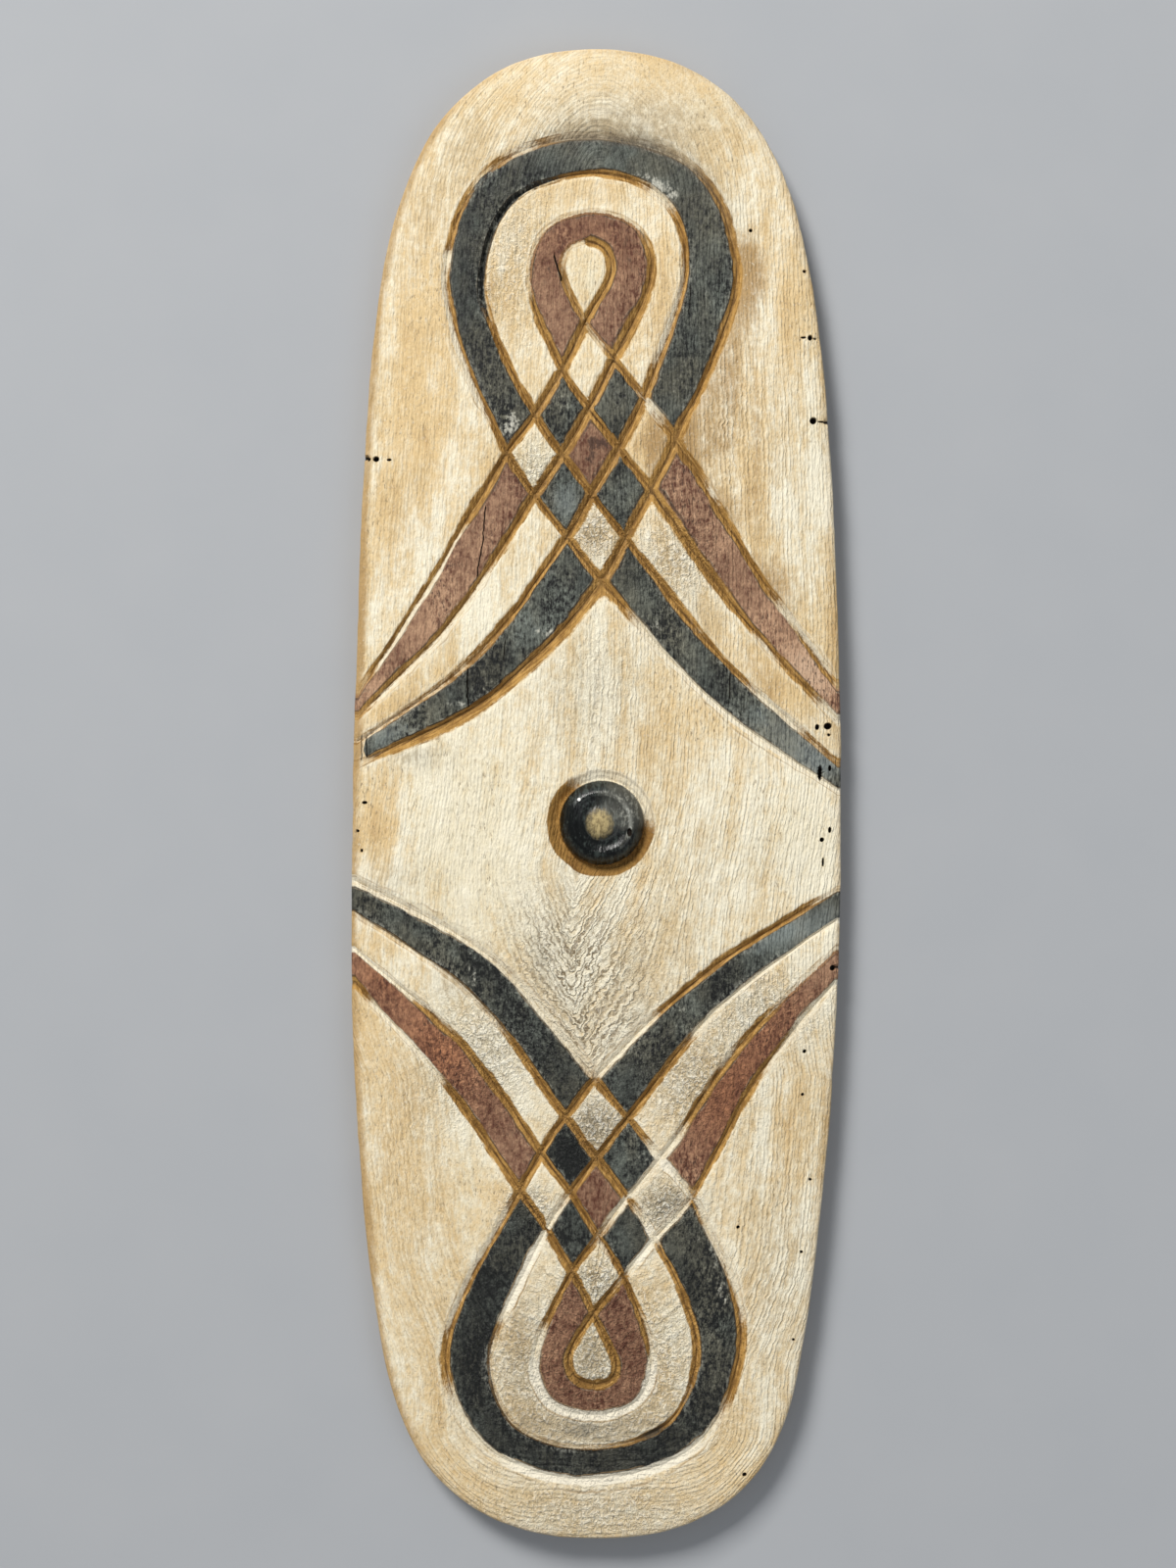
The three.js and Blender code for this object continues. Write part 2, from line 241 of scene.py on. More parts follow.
LINES = []  # (plait, line, half, points)
for m, plait in enumerate(PLAITS):
    for k in range(4):
        for half, pts in enumerate(line_halves(plait, k)):
            LINES.append((m, k, half, pts))


def paint_class(x, y):
    """0 bare ground, 1 black, 2 red, 3 cream, from which lines a point lies between."""
    result = np.zeros(len(x), int)
    cells = {(1, 1): 3, (1, 2): 1, (2, 1): 1, (1, 3): 3, (3, 1): 3, (2, 2): 2, (2, 3): 1, (3, 2): 1, (3, 3): 3}
    for m, plait in enumerate(PLAITS):
        up = -1.0 if plait["downward"] else 1.0
        yy = y * up
        counts = []
        for half in (0, 1):
            count = np.zeros(len(x), int)
            for mm, k, h, pts in LINES:
                if mm != m or h != half:
                    continue
                p = pts if half == 0 else pts[::-1]
                ys = np.maximum.accumulate(p[:, 1] * up) + np.arange(len(p)) * 1e-6
                if half == 0:
                    count += x < np.interp(yy, ys, p[:, 0], left=-1e9, right=-1e9)
                else:
                    count += x > np.interp(yy, ys, p[:, 0], left=1e9, right=1e9)
            counts.append(count)
        right, left = counts
        low, high = np.array(plait["corners"][3]) - MIDDLE, np.array(plait["lines"][0][6]) - MIDDLE
        above = yy > low[1] * up
        axis = low[0] + (high[0] - low[0]) * np.clip((y - low[1]) / (high[1] - low[1]), 0, 1.2)
        right = np.where(above & (x < axis), 0, right)
        left = np.where(above & (x >= axis), 0, left)
        in_r, in_l = (right >= 1) & (right <= 3), (left >= 1) & (left <= 3)
        band = np.array([0, 1, 3, 2, 0])
        here = np.where(in_r & ~in_l, band[right], 0) + np.where(in_l & ~in_r, band[left], 0)
        for (a, b), c in cells.items():
            here = np.where((left == a) & (right == b), c, here)
        result = np.where(yy > -20, here, result) if m == 0 else np.where((yy > 20) & (here > 0), here, result)
    return result


# --------------------------------------------------------------------------
# where the wear and the washes lie: soft spots, placed on the picture plane
# --------------------------------------------------------------------------
MM_PER_PX = 0.45


def at_px(px, py):
    return (px - 608.0) * MM_PER_PX - MIDDLE[0], (811.0 - py) * MM_PER_PX - MIDDLE[1]


def spots(x, y, rows, base=0.0):
    """Adds soft round or oval spots: centre and half sizes in picture units, then the amount."""
    total = np.full(len(x), float(base))
    for px, py, rx, ry, amount in rows:
        cx, cy = at_px(px, py)
        total += amount * np.exp(-(((x - cx) / (rx * MM_PER_PX)) ** 2 + ((y - cy) / (ry * MM_PER_PX)) ** 2))
    return total


TAN = [(392, 955, 40, 24, 0.40), (440, 992, 28, 22, 0.18), (370, 1045, 20, 44, 0.42), (475, 1190, 34, 80, -0.26), (790, 380, 46, 180, 0.14), (760, 440, 20, 70, 0.10), (610, 80, 70, 24, -0.16), (545, 470, 20, 30, -0.25), (600, 195, 70, 14, 0.14), (600, 283, 14, 24, -0.30), (610, 82, 90, 24, 0.12), (397, 845, 22, 45, 0.08), (430, 330, 24, 150, 0.06), (740, 830, 60, 60, 0.06), (490, 870, 50, 70, -0.10), (610, 705, 44, 60, -0.26), (397, 845, 22, 45, 0.10), (820, 855, 26, 50, -0.20), (605, 985, 70, 80, -0.20), (690, 1365, 16, 50, -0.15), (722, 640, 24, 26, 0.22), (765, 1055, 30, 22, -0.20), (740, 740, 50, 40, 0.05),
       (480, 860, 60, 110, -0.22), (395, 850, 22, 60, 0.22), (430, 300, 30, 120, 0.22), (435, 440, 30, 80, 0.18), (790, 300, 30, 120, 0.14), (600, 283, 16, 30, -0.45),
       (545, 470, 20, 30, -0.25), (605, 545, 24, 22, 0.20), (530, 1360, 18, 60, 0.22), (790, 840, 50, 60, -0.12), (730, 112, 30, 20, -0.35), (800, 1250, 40, 90, -0.16), (410, 1150, 40, 80, -0.25), (590, 985, 70, 90, -0.25),
       (470, 850, 74, 150, -0.42), (600, 690, 50, 60, -0.10), (700, 850, 80, 80, -0.14), (825, 850, 26, 60, -0.34),
       (388, 850, 26, 60, 0.16), (432, 430, 34, 110, 0.30), (395, 540, 30, 120, 0.10), (425, 300, 34, 90, 0.12),
       (752, 500, 26, 70, 0.40), (806, 450, 26, 110, -0.22), (790, 330, 30, 110, 0.02), (838, 560, 20, 90, -0.05), (405, 1160, 44, 110, 0.36),
       (430, 1310, 40, 80, 0.02), (800, 1180, 50, 90, 0.08), (790, 1310, 40, 80, 0.10), (610, 78, 70, 24, 0.12),
       (730, 110, 40, 30, 0.10), (780, 690, 40, 46, 0.45), (815, 715, 30, 22, 0.30), (405, 722, 40, 20, 0.65),
       (450, 690, 40, 24, 0.20), (674, 456, 34, 48, 0.62), (675, 300, 22, 70, 0.30), (540, 610, 46, 46, -0.05),
       (545, 470, 20, 26, -0.10), (605, 545, 24, 22, 0.30), (680, 560, 24, 30, 0.05), (520, 300, 24, 70, 0.10),
       (600, 195, 60, 14, 0.18), (600, 283, 18, 30, 0.10), (490, 1065, 40, 40, -0.20), (420, 975, 40, 20, 0.05),
       (760, 1045, 60, 34, 0.00), (700, 1130, 30, 30, 0.10), (608, 1148, 26, 24, 0.15), (530, 1365, 20, 60, -0.05),
       (690, 1360, 16, 50, -0.25), (605, 1458, 70, 14, 0.10), (603, 1384, 18, 30, 0.15), (610, 1000, 80, 80, 0.05),
       (400, 1450, 30, 50, 0.15), (840, 1050, 24, 60, -0.10)]
STAIN = [(765, 682, 20, 18, 0.28), (788, 702, 20, 16, 0.18), (400, 738, 30, 9, 0.20), (764, 285, 18, 44, 0.40), (748, 400, 14, 50, 0.40), (735, 452, 20, 24, 0.40), (772, 440, 5, 70, 0.25), (672, 456, 30, 44, 0.30), (363, 760, 9, 18, 0.7), (676, 458, 36, 50, 0.34), (772, 450, 6, 130, 0.26), (662, 330, 12, 70, 0.35), (690, 385, 16, 40, 0.35),
         (794, 520, 6, 60, 0.12), (745, 560, 16, 40, 0.15), (800, 630, 24, 40, 0.28), (788, 700, 24, 30, 0.25),
         (410, 722, 34, 14, 0.35), (372, 620, 14, 120, 0.22), (436, 560, 16, 80, 0.22), (445, 350, 12, 90, 0.20), (395, 1150, 20, 120, 0.25),
         (428, 1120, 16, 60, 0.25), (372, 1010, 12, 60, 0.30), (500, 715, 50, 12, 0.25), (610, 590, 14, 20, 0.40),
         (840, 1100, 14, 120, 0.10), (470, 1450, 26, 40, 0.15), (560, 345, 10, 30, 0.25), (640, 350, 10, 30, 0.35), (705, 640, 20, 30, 0.12)]
# grey smudges; those above the crown of the upper loop are painted shade
SMUDGE_AND_SHADE = [(545, 470, 24, 30, -0.15), (600, 195, 60, 14, 0.12), (530, 1360, 20, 60, -0.16), (603, 1384, 18, 28, -0.10), (608, 1545, 130, 26, -0.13), (690, 1360, 16, 50, -0.06), (640, 120, 84, 18, 0.14), (490, 140, 26, 30, 0.14), (605, 545, 20, 20, 0.08), (608, 1148, 22, 22, 0.10), (680, 1232, 26, 20, 0.12), (605, 1458, 84, 14, 0.15), (530, 1360, 16, 60, 0.06), (603, 1384, 14, 26, 0.12), (640, 116, 84, 22, 0.26), (700, 140, 36, 24, 0.22), (552, 975, 10, 30, 0.30), (640, 1010, 14, 40, 0.15), (655, 1042, 12, 24, 0.25), (608, 1148, 22, 22, 0.16), (680, 1232, 26, 20, 0.12), (605, 1458, 84, 14, 0.25), (720, 636, 22, 26, 0.18),
          (530, 1350, 16, 50, 0.35), (605, 545, 22, 22, 0.05), (690, 1235, 26, 20, 0.14), (705, 640, 20, 24, 0.16), (470, 165, 26, 40, 0.22), (440, 210, 20, 40, 0.15),
          (605, 1456, 90, 22, 0.42), (530, 1400, 24, 50, 0.30), (603, 1388, 20, 30, 0.36), (608, 1148, 24, 24, 0.20), (680, 1230, 30, 24, 0.22),
          (610, 1545, 130, 26, 0.25), (520, 1500, 40, 26, 0.10), (605, 1050, 50, 30, 0.12), (465, 1002, 20, 20, 0.45), (425, 772, 28, 12, 0.5),
          (690, 330, 20, 60, 0.16), (790, 1300, 40, 100, 0.12), (400, 898, 30, 14, 0.25), (560, 990, 16, 60, 0.12), (655, 990, 14, 50, 0.15),
          (605, 545, 22, 22, 0.05), (672, 456, 30, 40, 0.10), (545, 470, 20, 26, 0.10), (600, 300, 14, 30, 0.10), (690, 960, 26, 40, 0.18),
          (720, 870, 60, 60, 0.08), (600, 700, 50, 50, 0.06), (800, 880, 40, 30, 0.10), (720, 1090, 26, 30, 0.14)]
CRUMPLED = [(608, 1150, 30, 30, 1.0), (680, 1232, 30, 24, 1.0), (540, 1235, 24, 24, 0.9), (605, 1310, 24, 24, 0.8), (605, 1400, 110, 90, 0.8),
            (710, 1110, 50, 50, 0.6), (490, 1080, 50, 60, 0.6), (605, 545, 26, 26, 0.8), (545, 480, 26, 30, 0.5), (690, 570, 40, 40, 0.5),
            (600, 1000, 90, 110, 0.2), (610, 700, 60, 80, 0.1), (780, 1030, 60, 40, 0.5), (605, 1545, 120, 30, 0.4), (520, 260, 40, 80, 0.3)]
LINED = [(588, 985, 54, 82, 1.0), (602, 1062, 44, 34, 0.6), (650, 1010, 30, 60, 0.25), (612, 705, 46, 60, 0.34), (540, 960, 26, 40, 0.25), (690, 880, 60, 80, 0.16),
         (800, 1210, 60, 110, 0.26), (415, 1160, 50, 110, 0.24), (790, 1330, 40, 90, 0.24), (440, 1330, 40, 90, 0.16), (770, 480, 50, 110, 0.22), (735, 430, 30, 60, 0.28),
         (630, 112, 60, 26, 0.20), (700, 1090, 40, 40, 0.20), (690, 600, 40, 40, 0.16), (608, 1148, 24, 24, 0.3), (680, 1232, 30, 24, 0.25)]
BLACK_WEAR_AND_SHEEN = [(380, 757, 12, 14, -0.16), (490, 1005, 26, 26, 0.10), (770, 970, 22, 14, 0.18), (848, 928, 14, 14, 0.30), (690, 655, 16, 16, 0.08), (707, 676, 12, 12, -0.14), (740, 705, 18, 16, -0.10), (765, 725, 18, 14, 0.14), (782, 738, 20, 16, 0.18), (845, 780, 16, 14, 0.25), (462, 724, 18, 14, 0.15), (480, 710, 16, 14, 0.05), (520, 670, 24, 22, 0.06), (790, 955, 56, 22, 0.16), (705, 1040, 46, 36, -0.12), (818, 768, 30, 22, -0.12), (770, 725, 30, 24, 0.12), (580, 510, 20, 22, 0.10), (630, 408, 20, 22, 0.06), (635, 505, 20, 22, 0.06), (575, 1182, 22, 24, -0.06), (800, 752, 44, 24, 0.10), (385, 758, 20, 16, 0.35), (800, 950, 56, 24, 0.16), (745, 985, 22, 16, -0.12), (735, 700, 24, 26, -0.06), (728, 1350, 14, 60, 0.04), (475, 280, 16, 110, -0.05), (490, 1355, 18, 80, -0.13), (605, 1490, 70, 20, -0.05), (728, 1350, 12, 60, 0.06), (630, 408, 18, 20, 0.10), (580, 510, 18, 20, 0.17), (635, 505, 18, 20, 0.10), (580, 1182, 18, 20, -0.10), (545, 640, 40, 36, 0.10), (668, 188, 20, 10, 0.35), (430, 748, 40, 16, 0.06),
              (822, 770, 40, 36, 0.62), (730, 680, 40, 50, 0.05), (405, 745, 50, 16, 0.30), (600, 158, 110, 22, 0.20),
              (725, 290, 18, 90, 0.14), (700, 420, 20, 30, 0.16), (540, 640, 40, 30, 0.18), (490, 700, 30, 24, -0.05),
              (575, 515, 24, 26, 0.26), (635, 510, 24, 26, 0.12), (572, 415, 22, 26, 0.06), (632, 405, 22, 24, 0.12),
              (600, 1400, 210, 150, -0.16), (575, 1180, 24, 28, -0.24), (640, 1182, 24, 28, 0.18), (585, 1262, 20, 26, 0.05), (635, 1265, 20, 26, 0.05),
              (815, 945, 50, 22, 0.34), (705, 1040, 46, 36, 0.16), (500, 1000, 36, 36, 0.02), (400, 930, 50, 26, 0.05), (570, 1080, 26, 30, -0.10),
              (640, 620, 26, 30, 0.20), (700, 665, 30, 30, 0.05), (475, 280, 18, 110, -0.05), (725, 1350, 14, 50, 0.06)]
# where the black is crackled and scratched
CRISP = [(572, 412, 26, 30, 1.0), (632, 405, 26, 28, 0.5), (580, 512, 26, 28, 0.6), (635, 508, 26, 28, 0.8), (575, 1182, 26, 28, 0.6), (640, 1182, 26, 28, 0.5),
         (518, 430, 20, 30, 0.9), (545, 640, 60, 46, 0.7), (430, 735, 70, 26, 0.6), (700, 660, 46, 46, 0.5), (800, 760, 60, 40, 0.7), (735, 1300, 20, 70, 0.6),
         (480, 1000, 60, 60, 0.5), (700, 1040, 60, 40, 0.5), (590, 1265, 60, 26, 0.3)]
# pale flecks and smears on the black, and painted glints on the black band at the lower right
BLACK_FLECK_AND_GLINT = [(522, 436, 15, 20, 0.72), (668, 190, 16, 8, 0.85), (652, 180, 16, 5, 0.62), (683, 201, 10, 10, 0.75), (668, 640, 14, 10, 0.45), (465, 718, 16, 5, 0.6), (586, 620, 5, 22, 0.25),
               (484, 992, 2.2, 30, 0.70), (479, 984, 2.0, 24, 0.48), (474, 988, 2.2, 26, 0.45), (498, 1012, 6, 14, 0.3), (560, 646, 18, 8, 0.75), (738, 1322, 6, 16, 0.6), (735, 1280, 14, 20, 0.26), (715, 1262, 22, 22, 0.28), (728, 1300, 10, 30, 0.22), (655, 1182, 12, 16, 0.42), (572, 412, 18, 22, 0.34),
               (800, 775, 26, 12, 0.42), (540, 1320, 12, 24, 0.3), (500, 700, 20, 14, 0.35), (690, 400, 14, 20, 0.3), (450, 955, 20, 12, 0.3), (705, 1035, 24, 20, 0.3)]
RED_WORN = [(780, 1060, 22, 22, 0.13), (805, 1025, 24, 22, 0.10), (700, 1160, 20, 20, 0.08), (700, 510, 20, 24, 0.08), (742, 566, 20, 20, 0.10), (785, 630, 24, 22, 0.24), (842, 705, 16, 14, 0.35), (378, 708, 18, 14, 0.15), (470, 600, 20, 24, 0.18), (500, 552, 20, 24, 0.20), (430, 655, 24, 24, 0.08), (420, 1025, 24, 22, 0.10), (815, 992, 40, 26, 0.20), (405, 1005, 36, 24, -0.14), (455, 1075, 40, 46, 0.10), (745, 1125, 40, 46, 0.08), (645, 1375, 16, 44, 0.12), (567, 1375, 14, 44, 0.05), (825, 682, 30, 26, 0.10), (608, 1220, 18, 22, -0.07), (605, 460, 20, 26, 0.04), (600, 1425, 60, 16, 0.03), (825, 682, 30, 26, 0.35), (730, 545, 22, 26, 0.05), (608, 1220, 18, 22, -0.09), (822, 680, 42, 36, 0.62), (450, 625, 40, 60, 0.40), (390, 705, 26, 16, 0.50), (395, 992, 34, 20, 0.25),
            (740, 560, 30, 40, 0.16), (785, 620, 24, 30, 0.20), (600, 1420, 80, 30, -0.10), (735, 1130, 36, 40, -0.04), (605, 460, 20, 26, 0.02),
            (608, 1220, 20, 26, -0.02), (835, 985, 26, 20, 0.15), (558, 300, 14, 50, 0.08), (455, 1075, 30, 36, 0.10), (645, 1375, 14, 40, -0.08)]
RED_DIRT = [(612, 452, 14, 9, 1.0), (601, 470, 8, 9, 0.7), (620, 474, 7, 12, 0.7), (600, 222, 40, 8, 0.45), (640, 260, 10, 26, 0.5), (562, 275, 8, 22, 0.5), (660, 1385, 10, 40, 0.3)]
# bare ends of bands at the rim
BARE = [(362, 760, 6, 40, 3.0), (368, 706, 8, 8, 0.4), (868, 772, 6, 12, 0.5)]
RED_RICH = [(395, 990, 50, 40, 0.8), (790, 1040, 50, 50, 0.6), (450, 1075, 60, 70, 1.0), (745, 1120, 60, 70, 1.0), (600, 250, 60, 40, 0.4), (600, 1380, 80, 70, 0.3)]
# how each cut looks along its length, a letter for every 22 mm from its foot to its crown (first half) and back down:
# b brown, B brown and broad, t thin, w chalky, W white, v thin and white, m chalky on the bare side only, n on the
# painted side only, g worn away, d dark with painted shade
CUT_LOOK = {(0, 0, 0): "gbbbbbBBBBBbbbbbggg", (0, 0, 1): "gwgtwmmmbbbbbwvvvvv", (0, 1, 0): "ccccbbbBBBBmmbwb", (0, 1, 1): "tdddbbbbbbbbbtwwg",
            (0, 2, 0): "gmmmmbBBBBBbgg", (0, 2, 1): "gggbbbbBBBbmtw", (0, 3, 0): "gnnnnBbbBBbb", (0, 3, 1): "gtgbwBmbbwmg",
            (1, 0, 0): "wwwwwwwbtWmwmbbwWW", (1, 0, 1): "WWwwbmmmbbbwwbbbbg", (1, 1, 0): "gggggbbbbWtbbtdg", (1, 1, 1): "ggggWWwbbbbwvvv",
            (1, 2, 0): "vvmbbbbbmbmWW", (1, 2, 1): "WWwbbwwwbmbgg", (1, 3, 0): "bvvbbbbbbbb", (1, 3, 1): "bbbWwtbbmwv"}
#                        chalk, chalk on one side, worn away, dark (painted shade in the cut), extra half breadth
LOOKS = {"c": (0.42, 0.0, 0.30, 0.0, 0.10), "b": (0.0, 0.0, 0.0, 0.0, 0.60), "B": (0.0, 0.0, 0.0, 0.0, 1.75), "t": (0.0, 0.0, 0.30, 0.2, 0.0), "w": (0.72, 0.0, 0.0, 0.0, 0.55), "W": (1.30, 0.0, 0.0, 0.0, 0.75),
         "m": (0.40, 0.65, 0.0, 0.0, 0.55), "n": (0.40, -0.75, 0.0, 0.0, 0.20), "g": (0.0, 0.0, 0.62, 0.1, 0.0), "d": (0.0, 0.0, 0.0, 1.0, 0.2), "v": (1.0, 0.0, 0.0, 0.0, -0.35)}
BROAD = [(490, 650, 60, 60, 0.55), (700, 600, 50, 60, 0.25), (640, 320, 40, 60, 0.25), (600, 250, 60, 60, 0.10), (612, 600, 30, 30, 0.3), (735, 330, 20, 90, 0.3)]
BEVEL = [(604, 136, 88, 34, 7.0), (605, 1512, 110, 22, 2.4), (440, 935, 96, 60, 1.6), (550, 1040, 50, 50, 1.2), (775, 757, 64, 50, 1.6),
         (470, 735, 74, 50, 2.3), (560, 660, 50, 46, 1.9), (612, 600, 20, 20, 2.0), (749, 350, 14, 90, 1.0), (456, 400, 20, 70, 0.8), (735, 1300, 12, 60, 0.8)]
BROWN_REACH = [(775, 757, 64, 50, -1.3), (440, 935, 96, 50, -0.8), (400, 1000, 60, 40, -0.8), (470, 735, 74, 50, 2.2), (560, 660, 50, 46, 1.9), (612, 600, 20, 20, 2.0), (690, 440, 24, 40, 0.6), (640, 330, 20, 60, 0.4)]
# brown staining that hugs the cuts, partly painted shade beside the raised band, and soft dark painted shade above the
# crown of the outer loop
HUG = [(752, 280, 24, 46, 0.95), (744, 350, 24, 34, 0.62), (730, 404, 24, 34, 0.95), (708, 445, 22, 30, 0.95), (742, 515, 26, 34, 0.85), (786, 588, 24, 34, 0.80), (450, 380, 20, 80, 0.20)]
SHADE = [(604, 138, 62, 34, 0.78), (672, 150, 44, 34, 0.66), (714, 180, 24, 28, 0.55), (738, 220, 14, 34, 0.30)]
SPILL = [(372, 910, 30, 14, 0.32), (405, 925, 54, 18, 0.15), (790, 738, 60, 26, 0.34), (498, 250, 20, 66, 1.6), (520, 205, 20, 20, 1.0), (560, 186, 40, 12, 0.5), (700, 1420, 20, 40, 0.4), (500, 1400, 16, 50, 0.4),
         (716, 640, 30, 40, 0.4), (800, 990, 50, 20, 0.4)]

# insect holes: place, half sizes and depth
HOLES = [(376, 468, 2.0, 2.2, 3), (383.5, 468, 3.4, 3.0, 4), (397, 469, 2.6, 1.4, 2), (827, 344, 2.6, 3.0, 3),
         (834, 345, 4.6, 1.1, 1.2), (820, 344, 3.2, 1.2, 1.2), (830, 429, 3.8, 3.8, 4), (840, 430, 6.0, 1.1, 1.2),
         (821, 276, 1.8, 1.8, 3), (766, 235, 2.0, 2.0, 3), (834, 742, 2.4, 3.2, 3), (845, 741, 4.4, 3.8, 4),
         (846, 750, 1.6, 1.6, 2), (837, 789, 2.4, 8.6, 4), (847, 784, 1.8, 3.2, 3), (847, 847, 1.9, 3.4, 3),
         (839, 857, 2.4, 2.6, 4), (840, 880, 1.3, 5.2, 2), (850, 988, 3.2, 3.2, 3), (821, 1073, 2.0, 2.2, 3),
         (819, 1117, 1.8, 1.8, 3), (372, 819, 3.0, 1.8, 2), (753, 1252, 1.9, 1.9, 3), (818, 1278, 1.7, 1.7, 3),
         (827, 1204, 1.6, 1.6, 2), (826, 1331, 1.6, 1.6, 2), (810, 1368, 1.5, 1.5, 2), (760, 1506, 2.4, 2.4, 3),
         (365, 848, 1.4, 1.6, 2), (369, 868, 1.2, 2.0, 2), (642, 849, 2.6, 4.6, 1.5)]
# checks and knife slips: points, half breadth and depth
CRACKS = [([(369, 751), (368.5, 775)], 0.22, 0.5), ([(374, 752), (374, 772)], 0.25, 0.5),
          ([(496, 518), (494, 535), (493, 552), (489, 572), (487, 588)], 0.30, 1.2),
          ([(478, 683), (477, 700), (478, 721)], 0.36, 1.2),
          ([(566, 262), (569, 274), (573, 286)], 0.42, 1.0),
          ([(516, 655), (514, 672)], 0.25, 0.6),
          ([(745, 690), (744, 712)], 0.25, 0.6),
          ([(705, 292), (703, 318)], 0.2, 0.5)]

# --------------------------------------------------------------------------
# samples along the cuts
# --------------------------------------------------------------------------
cut_at, cut_tan, cut_line = [], [], []
for n, (m, k, half, pts) in enumerate(LINES):
    t = np.gradient(pts, axis=0)
    cut_at.append(pts)
    cut_tan.append(t / np.hypot(t[:, 0], t[:, 1])[:, None])
    cut_line.append(np.full(len(pts), n))
cut_at, cut_tan, cut_line = np.vstack(cut_at), np.vstack(cut_tan), np.concatenate(cut_line)
cut_nrm = np.stack([-cut_tan[:, 1], cut_tan[:, 0]], 1)  # to the left of the way it runs
side_class = [paint_class(*(cut_at + s * 1.6 * cut_nrm).T) for s in (1, -1)]
run = np.arange(len(cut_at)) * 0.5
looks = []
for n, (m, k, half, pts) in enumerate(LINES):
    at = np.arange(len(pts)) * 0.5
    at = at + 7.0 * rough(at / 17.0, at * 0 + n, 7)
    table = np.array([LOOKS[c] for c in CUT_LOOK[m, k, half]])
    where = 10.0 + 22.0 * np.arange(len(table))
    looks.append(np.stack([np.interp(at, where, table[:, c]) for c in range(5)], 1))
looks = np.vstack(looks)
cut_depth = 1.95 * (1 + 0.16 * rough(run / 14, run * 0 + cut_line, 3) + 0.06 * rough(run / 3.1, run * 0 + cut_line, 4)) * (1 - 0.45 * np.clip(looks[:, 0], 0, 1)) * np.maximum(0.06, 1 - 1.5 * looks[:, 2] * (1 - np.clip(spots(cut_at[:, 0], cut_at[:, 1], BEVEL) / 3, 0, 0.8)))
bare_side = ((side_class[1] == 1) | (side_class[1] == 2)).astype(float) - ((side_class[0] == 1) | (side_class[0] == 2))
outer_line = np.array([LINES[n][1] for n in cut_line]) == 0
cut_shade = spots(cut_at[:, 0], cut_at[:, 1], SHADE) * outer_line
cut_hug = spots(cut_at[:, 0], cut_at[:, 1], HUG)
cut_width = []
for s, cls in zip((1, -1), side_class):
    w = (1.72 + looks[:, 4] + spots(cut_at[:, 0], cut_at[:, 1], BROAD)) * (1 + 0.23 * rough(run / 19, run * 0 + cut_line + 50 * s, 5) + 0.15 * rough(run / 4.3, run * 0 + cut_line + 50 * s, 6))
    ground = (cls == 0) & outer_line
    w = np.where(ground, w * 1.2 + spots(cut_at[:, 0], cut_at[:, 1], BEVEL), w)
    w = np.where(cls == 1, w * 0.86, w)
    cut_width.append(w)


def tree_of(points):
    tree = kdtree.KDTree(len(points))
    for i, p in enumerate(points):
        tree.insert((p[0], p[1], 0.0), i)
    tree.balance()
    return tree


def nearest(tree, points):
    found = [tree.find((p[0], p[1], 0.0)) for p in points]
    return np.array([f[1] for f in found]), np.array([f[2] for f in found])


cut_tree = tree_of(cut_at)
edge_tree = {c: tree_of(cut_at[(side_class[0] == c) | (side_class[1] == c)]) for c in (1, 2)}

# --------------------------------------------------------------------------
# points of the face
# --------------------------------------------------------------------------
RING_COUNT = 1020
ring, ring_out, ring_run, ring_length = ring_points(RING_COUNT)
lip = ring - ring_out * ARRIS
rim_tree = tree_of(ring_points(3200)[0])

wanted = [(lip, 0.0)]
for px, py, rx, ry, depth in HOLES:
    cx, cy = at_px(px, py)
    rx, ry = rx * MM_PER_PX, ry * MM_PER_PX
    rows = [np.array([[cx, cy]])]
    for q, n in ((0.5, 8), (0.86, 14), (1.06, 16), (1.5, 16)):
        a = np.linspace(0, 2 * math.pi, n, endpoint=False) + q
        rows.append(np.stack([cx + np.cos(a) * rx * q, cy + np.sin(a) * ry * q], 1))
    wanted.append((np.vstack(rows), 0.16))
crack_lines = []
for pts, half, depth in CRACKS:
    p = even(centripetal(np.array([at_px(*q) for q in pts]), 12), 0.8)
    t = np.gradient(p, axis=0)
    n = np.stack([-t[:, 1], t[:, 0]], 1) / np.hypot(t[:, 0], t[:, 1])[:, None]
    p = p + n * (0.25 * rough(np.arange(len(p)) / 3.0, np.zeros(len(p)), 8))[:, None]
    crack_lines.append((p, half, depth))
    wanted.append((np.vstack([p + n * half * o for o in (0, 1, -1, 2.2, -2.2)]), 0.14))
boss = np.array(BOSS_CENTRE) - MIDDLE
rows = [boss[None]]
for r in np.concatenate([np.arange(0.9, 18.2, 0.95), [18.6, 19.0, 19.35, 19.7, 20.1, 20.6], np.arange(21.2, 27.5, 0.8)]):
    n = int(max(8, 2 * math.pi * r / 1.0))
    a = np.linspace(0, 2 * math.pi, n, endpoint=False) + r * 1.7
    rows.append(boss + np.stack([np.cos(a), np.sin(a)], 1) * r)
wanted.append((np.vstack(rows), 0.3))
for offset in (0.0, 1.0, 0.5, 1.32):
    for n, (m, k, half, pts) in enumerate(LINES):
        pick = np.flatnonzero(cut_line == n)[:: 3]
        for s, w in zip((1, -1), cut_width):
            if offset == 0 and s < 0:
                continue
            wanted.append((cut_at[pick] + cut_nrm[pick] * (s * w[pick] * offset)[:, None], 0.42 if offset in (0.0, 1.0) else 0.62))
STEP = 1.86
gx, gy = np.meshgrid(np.arange(-114, 114, STEP), np.arange(-344, 344, STEP * 0.866))
gx = gx + (np.arange(gx.shape[0]) % 2)[:, None] * STEP / 2
gx = gx + 0.3 * rough(gx * 3.1, gy * 3.1, 21)
gy = gy + 0.3 * rough(gx * 3.3, gy * 2.9, 22)
wanted.append((np.stack([gx.ravel(), gy.ravel()], 1), 1.16))


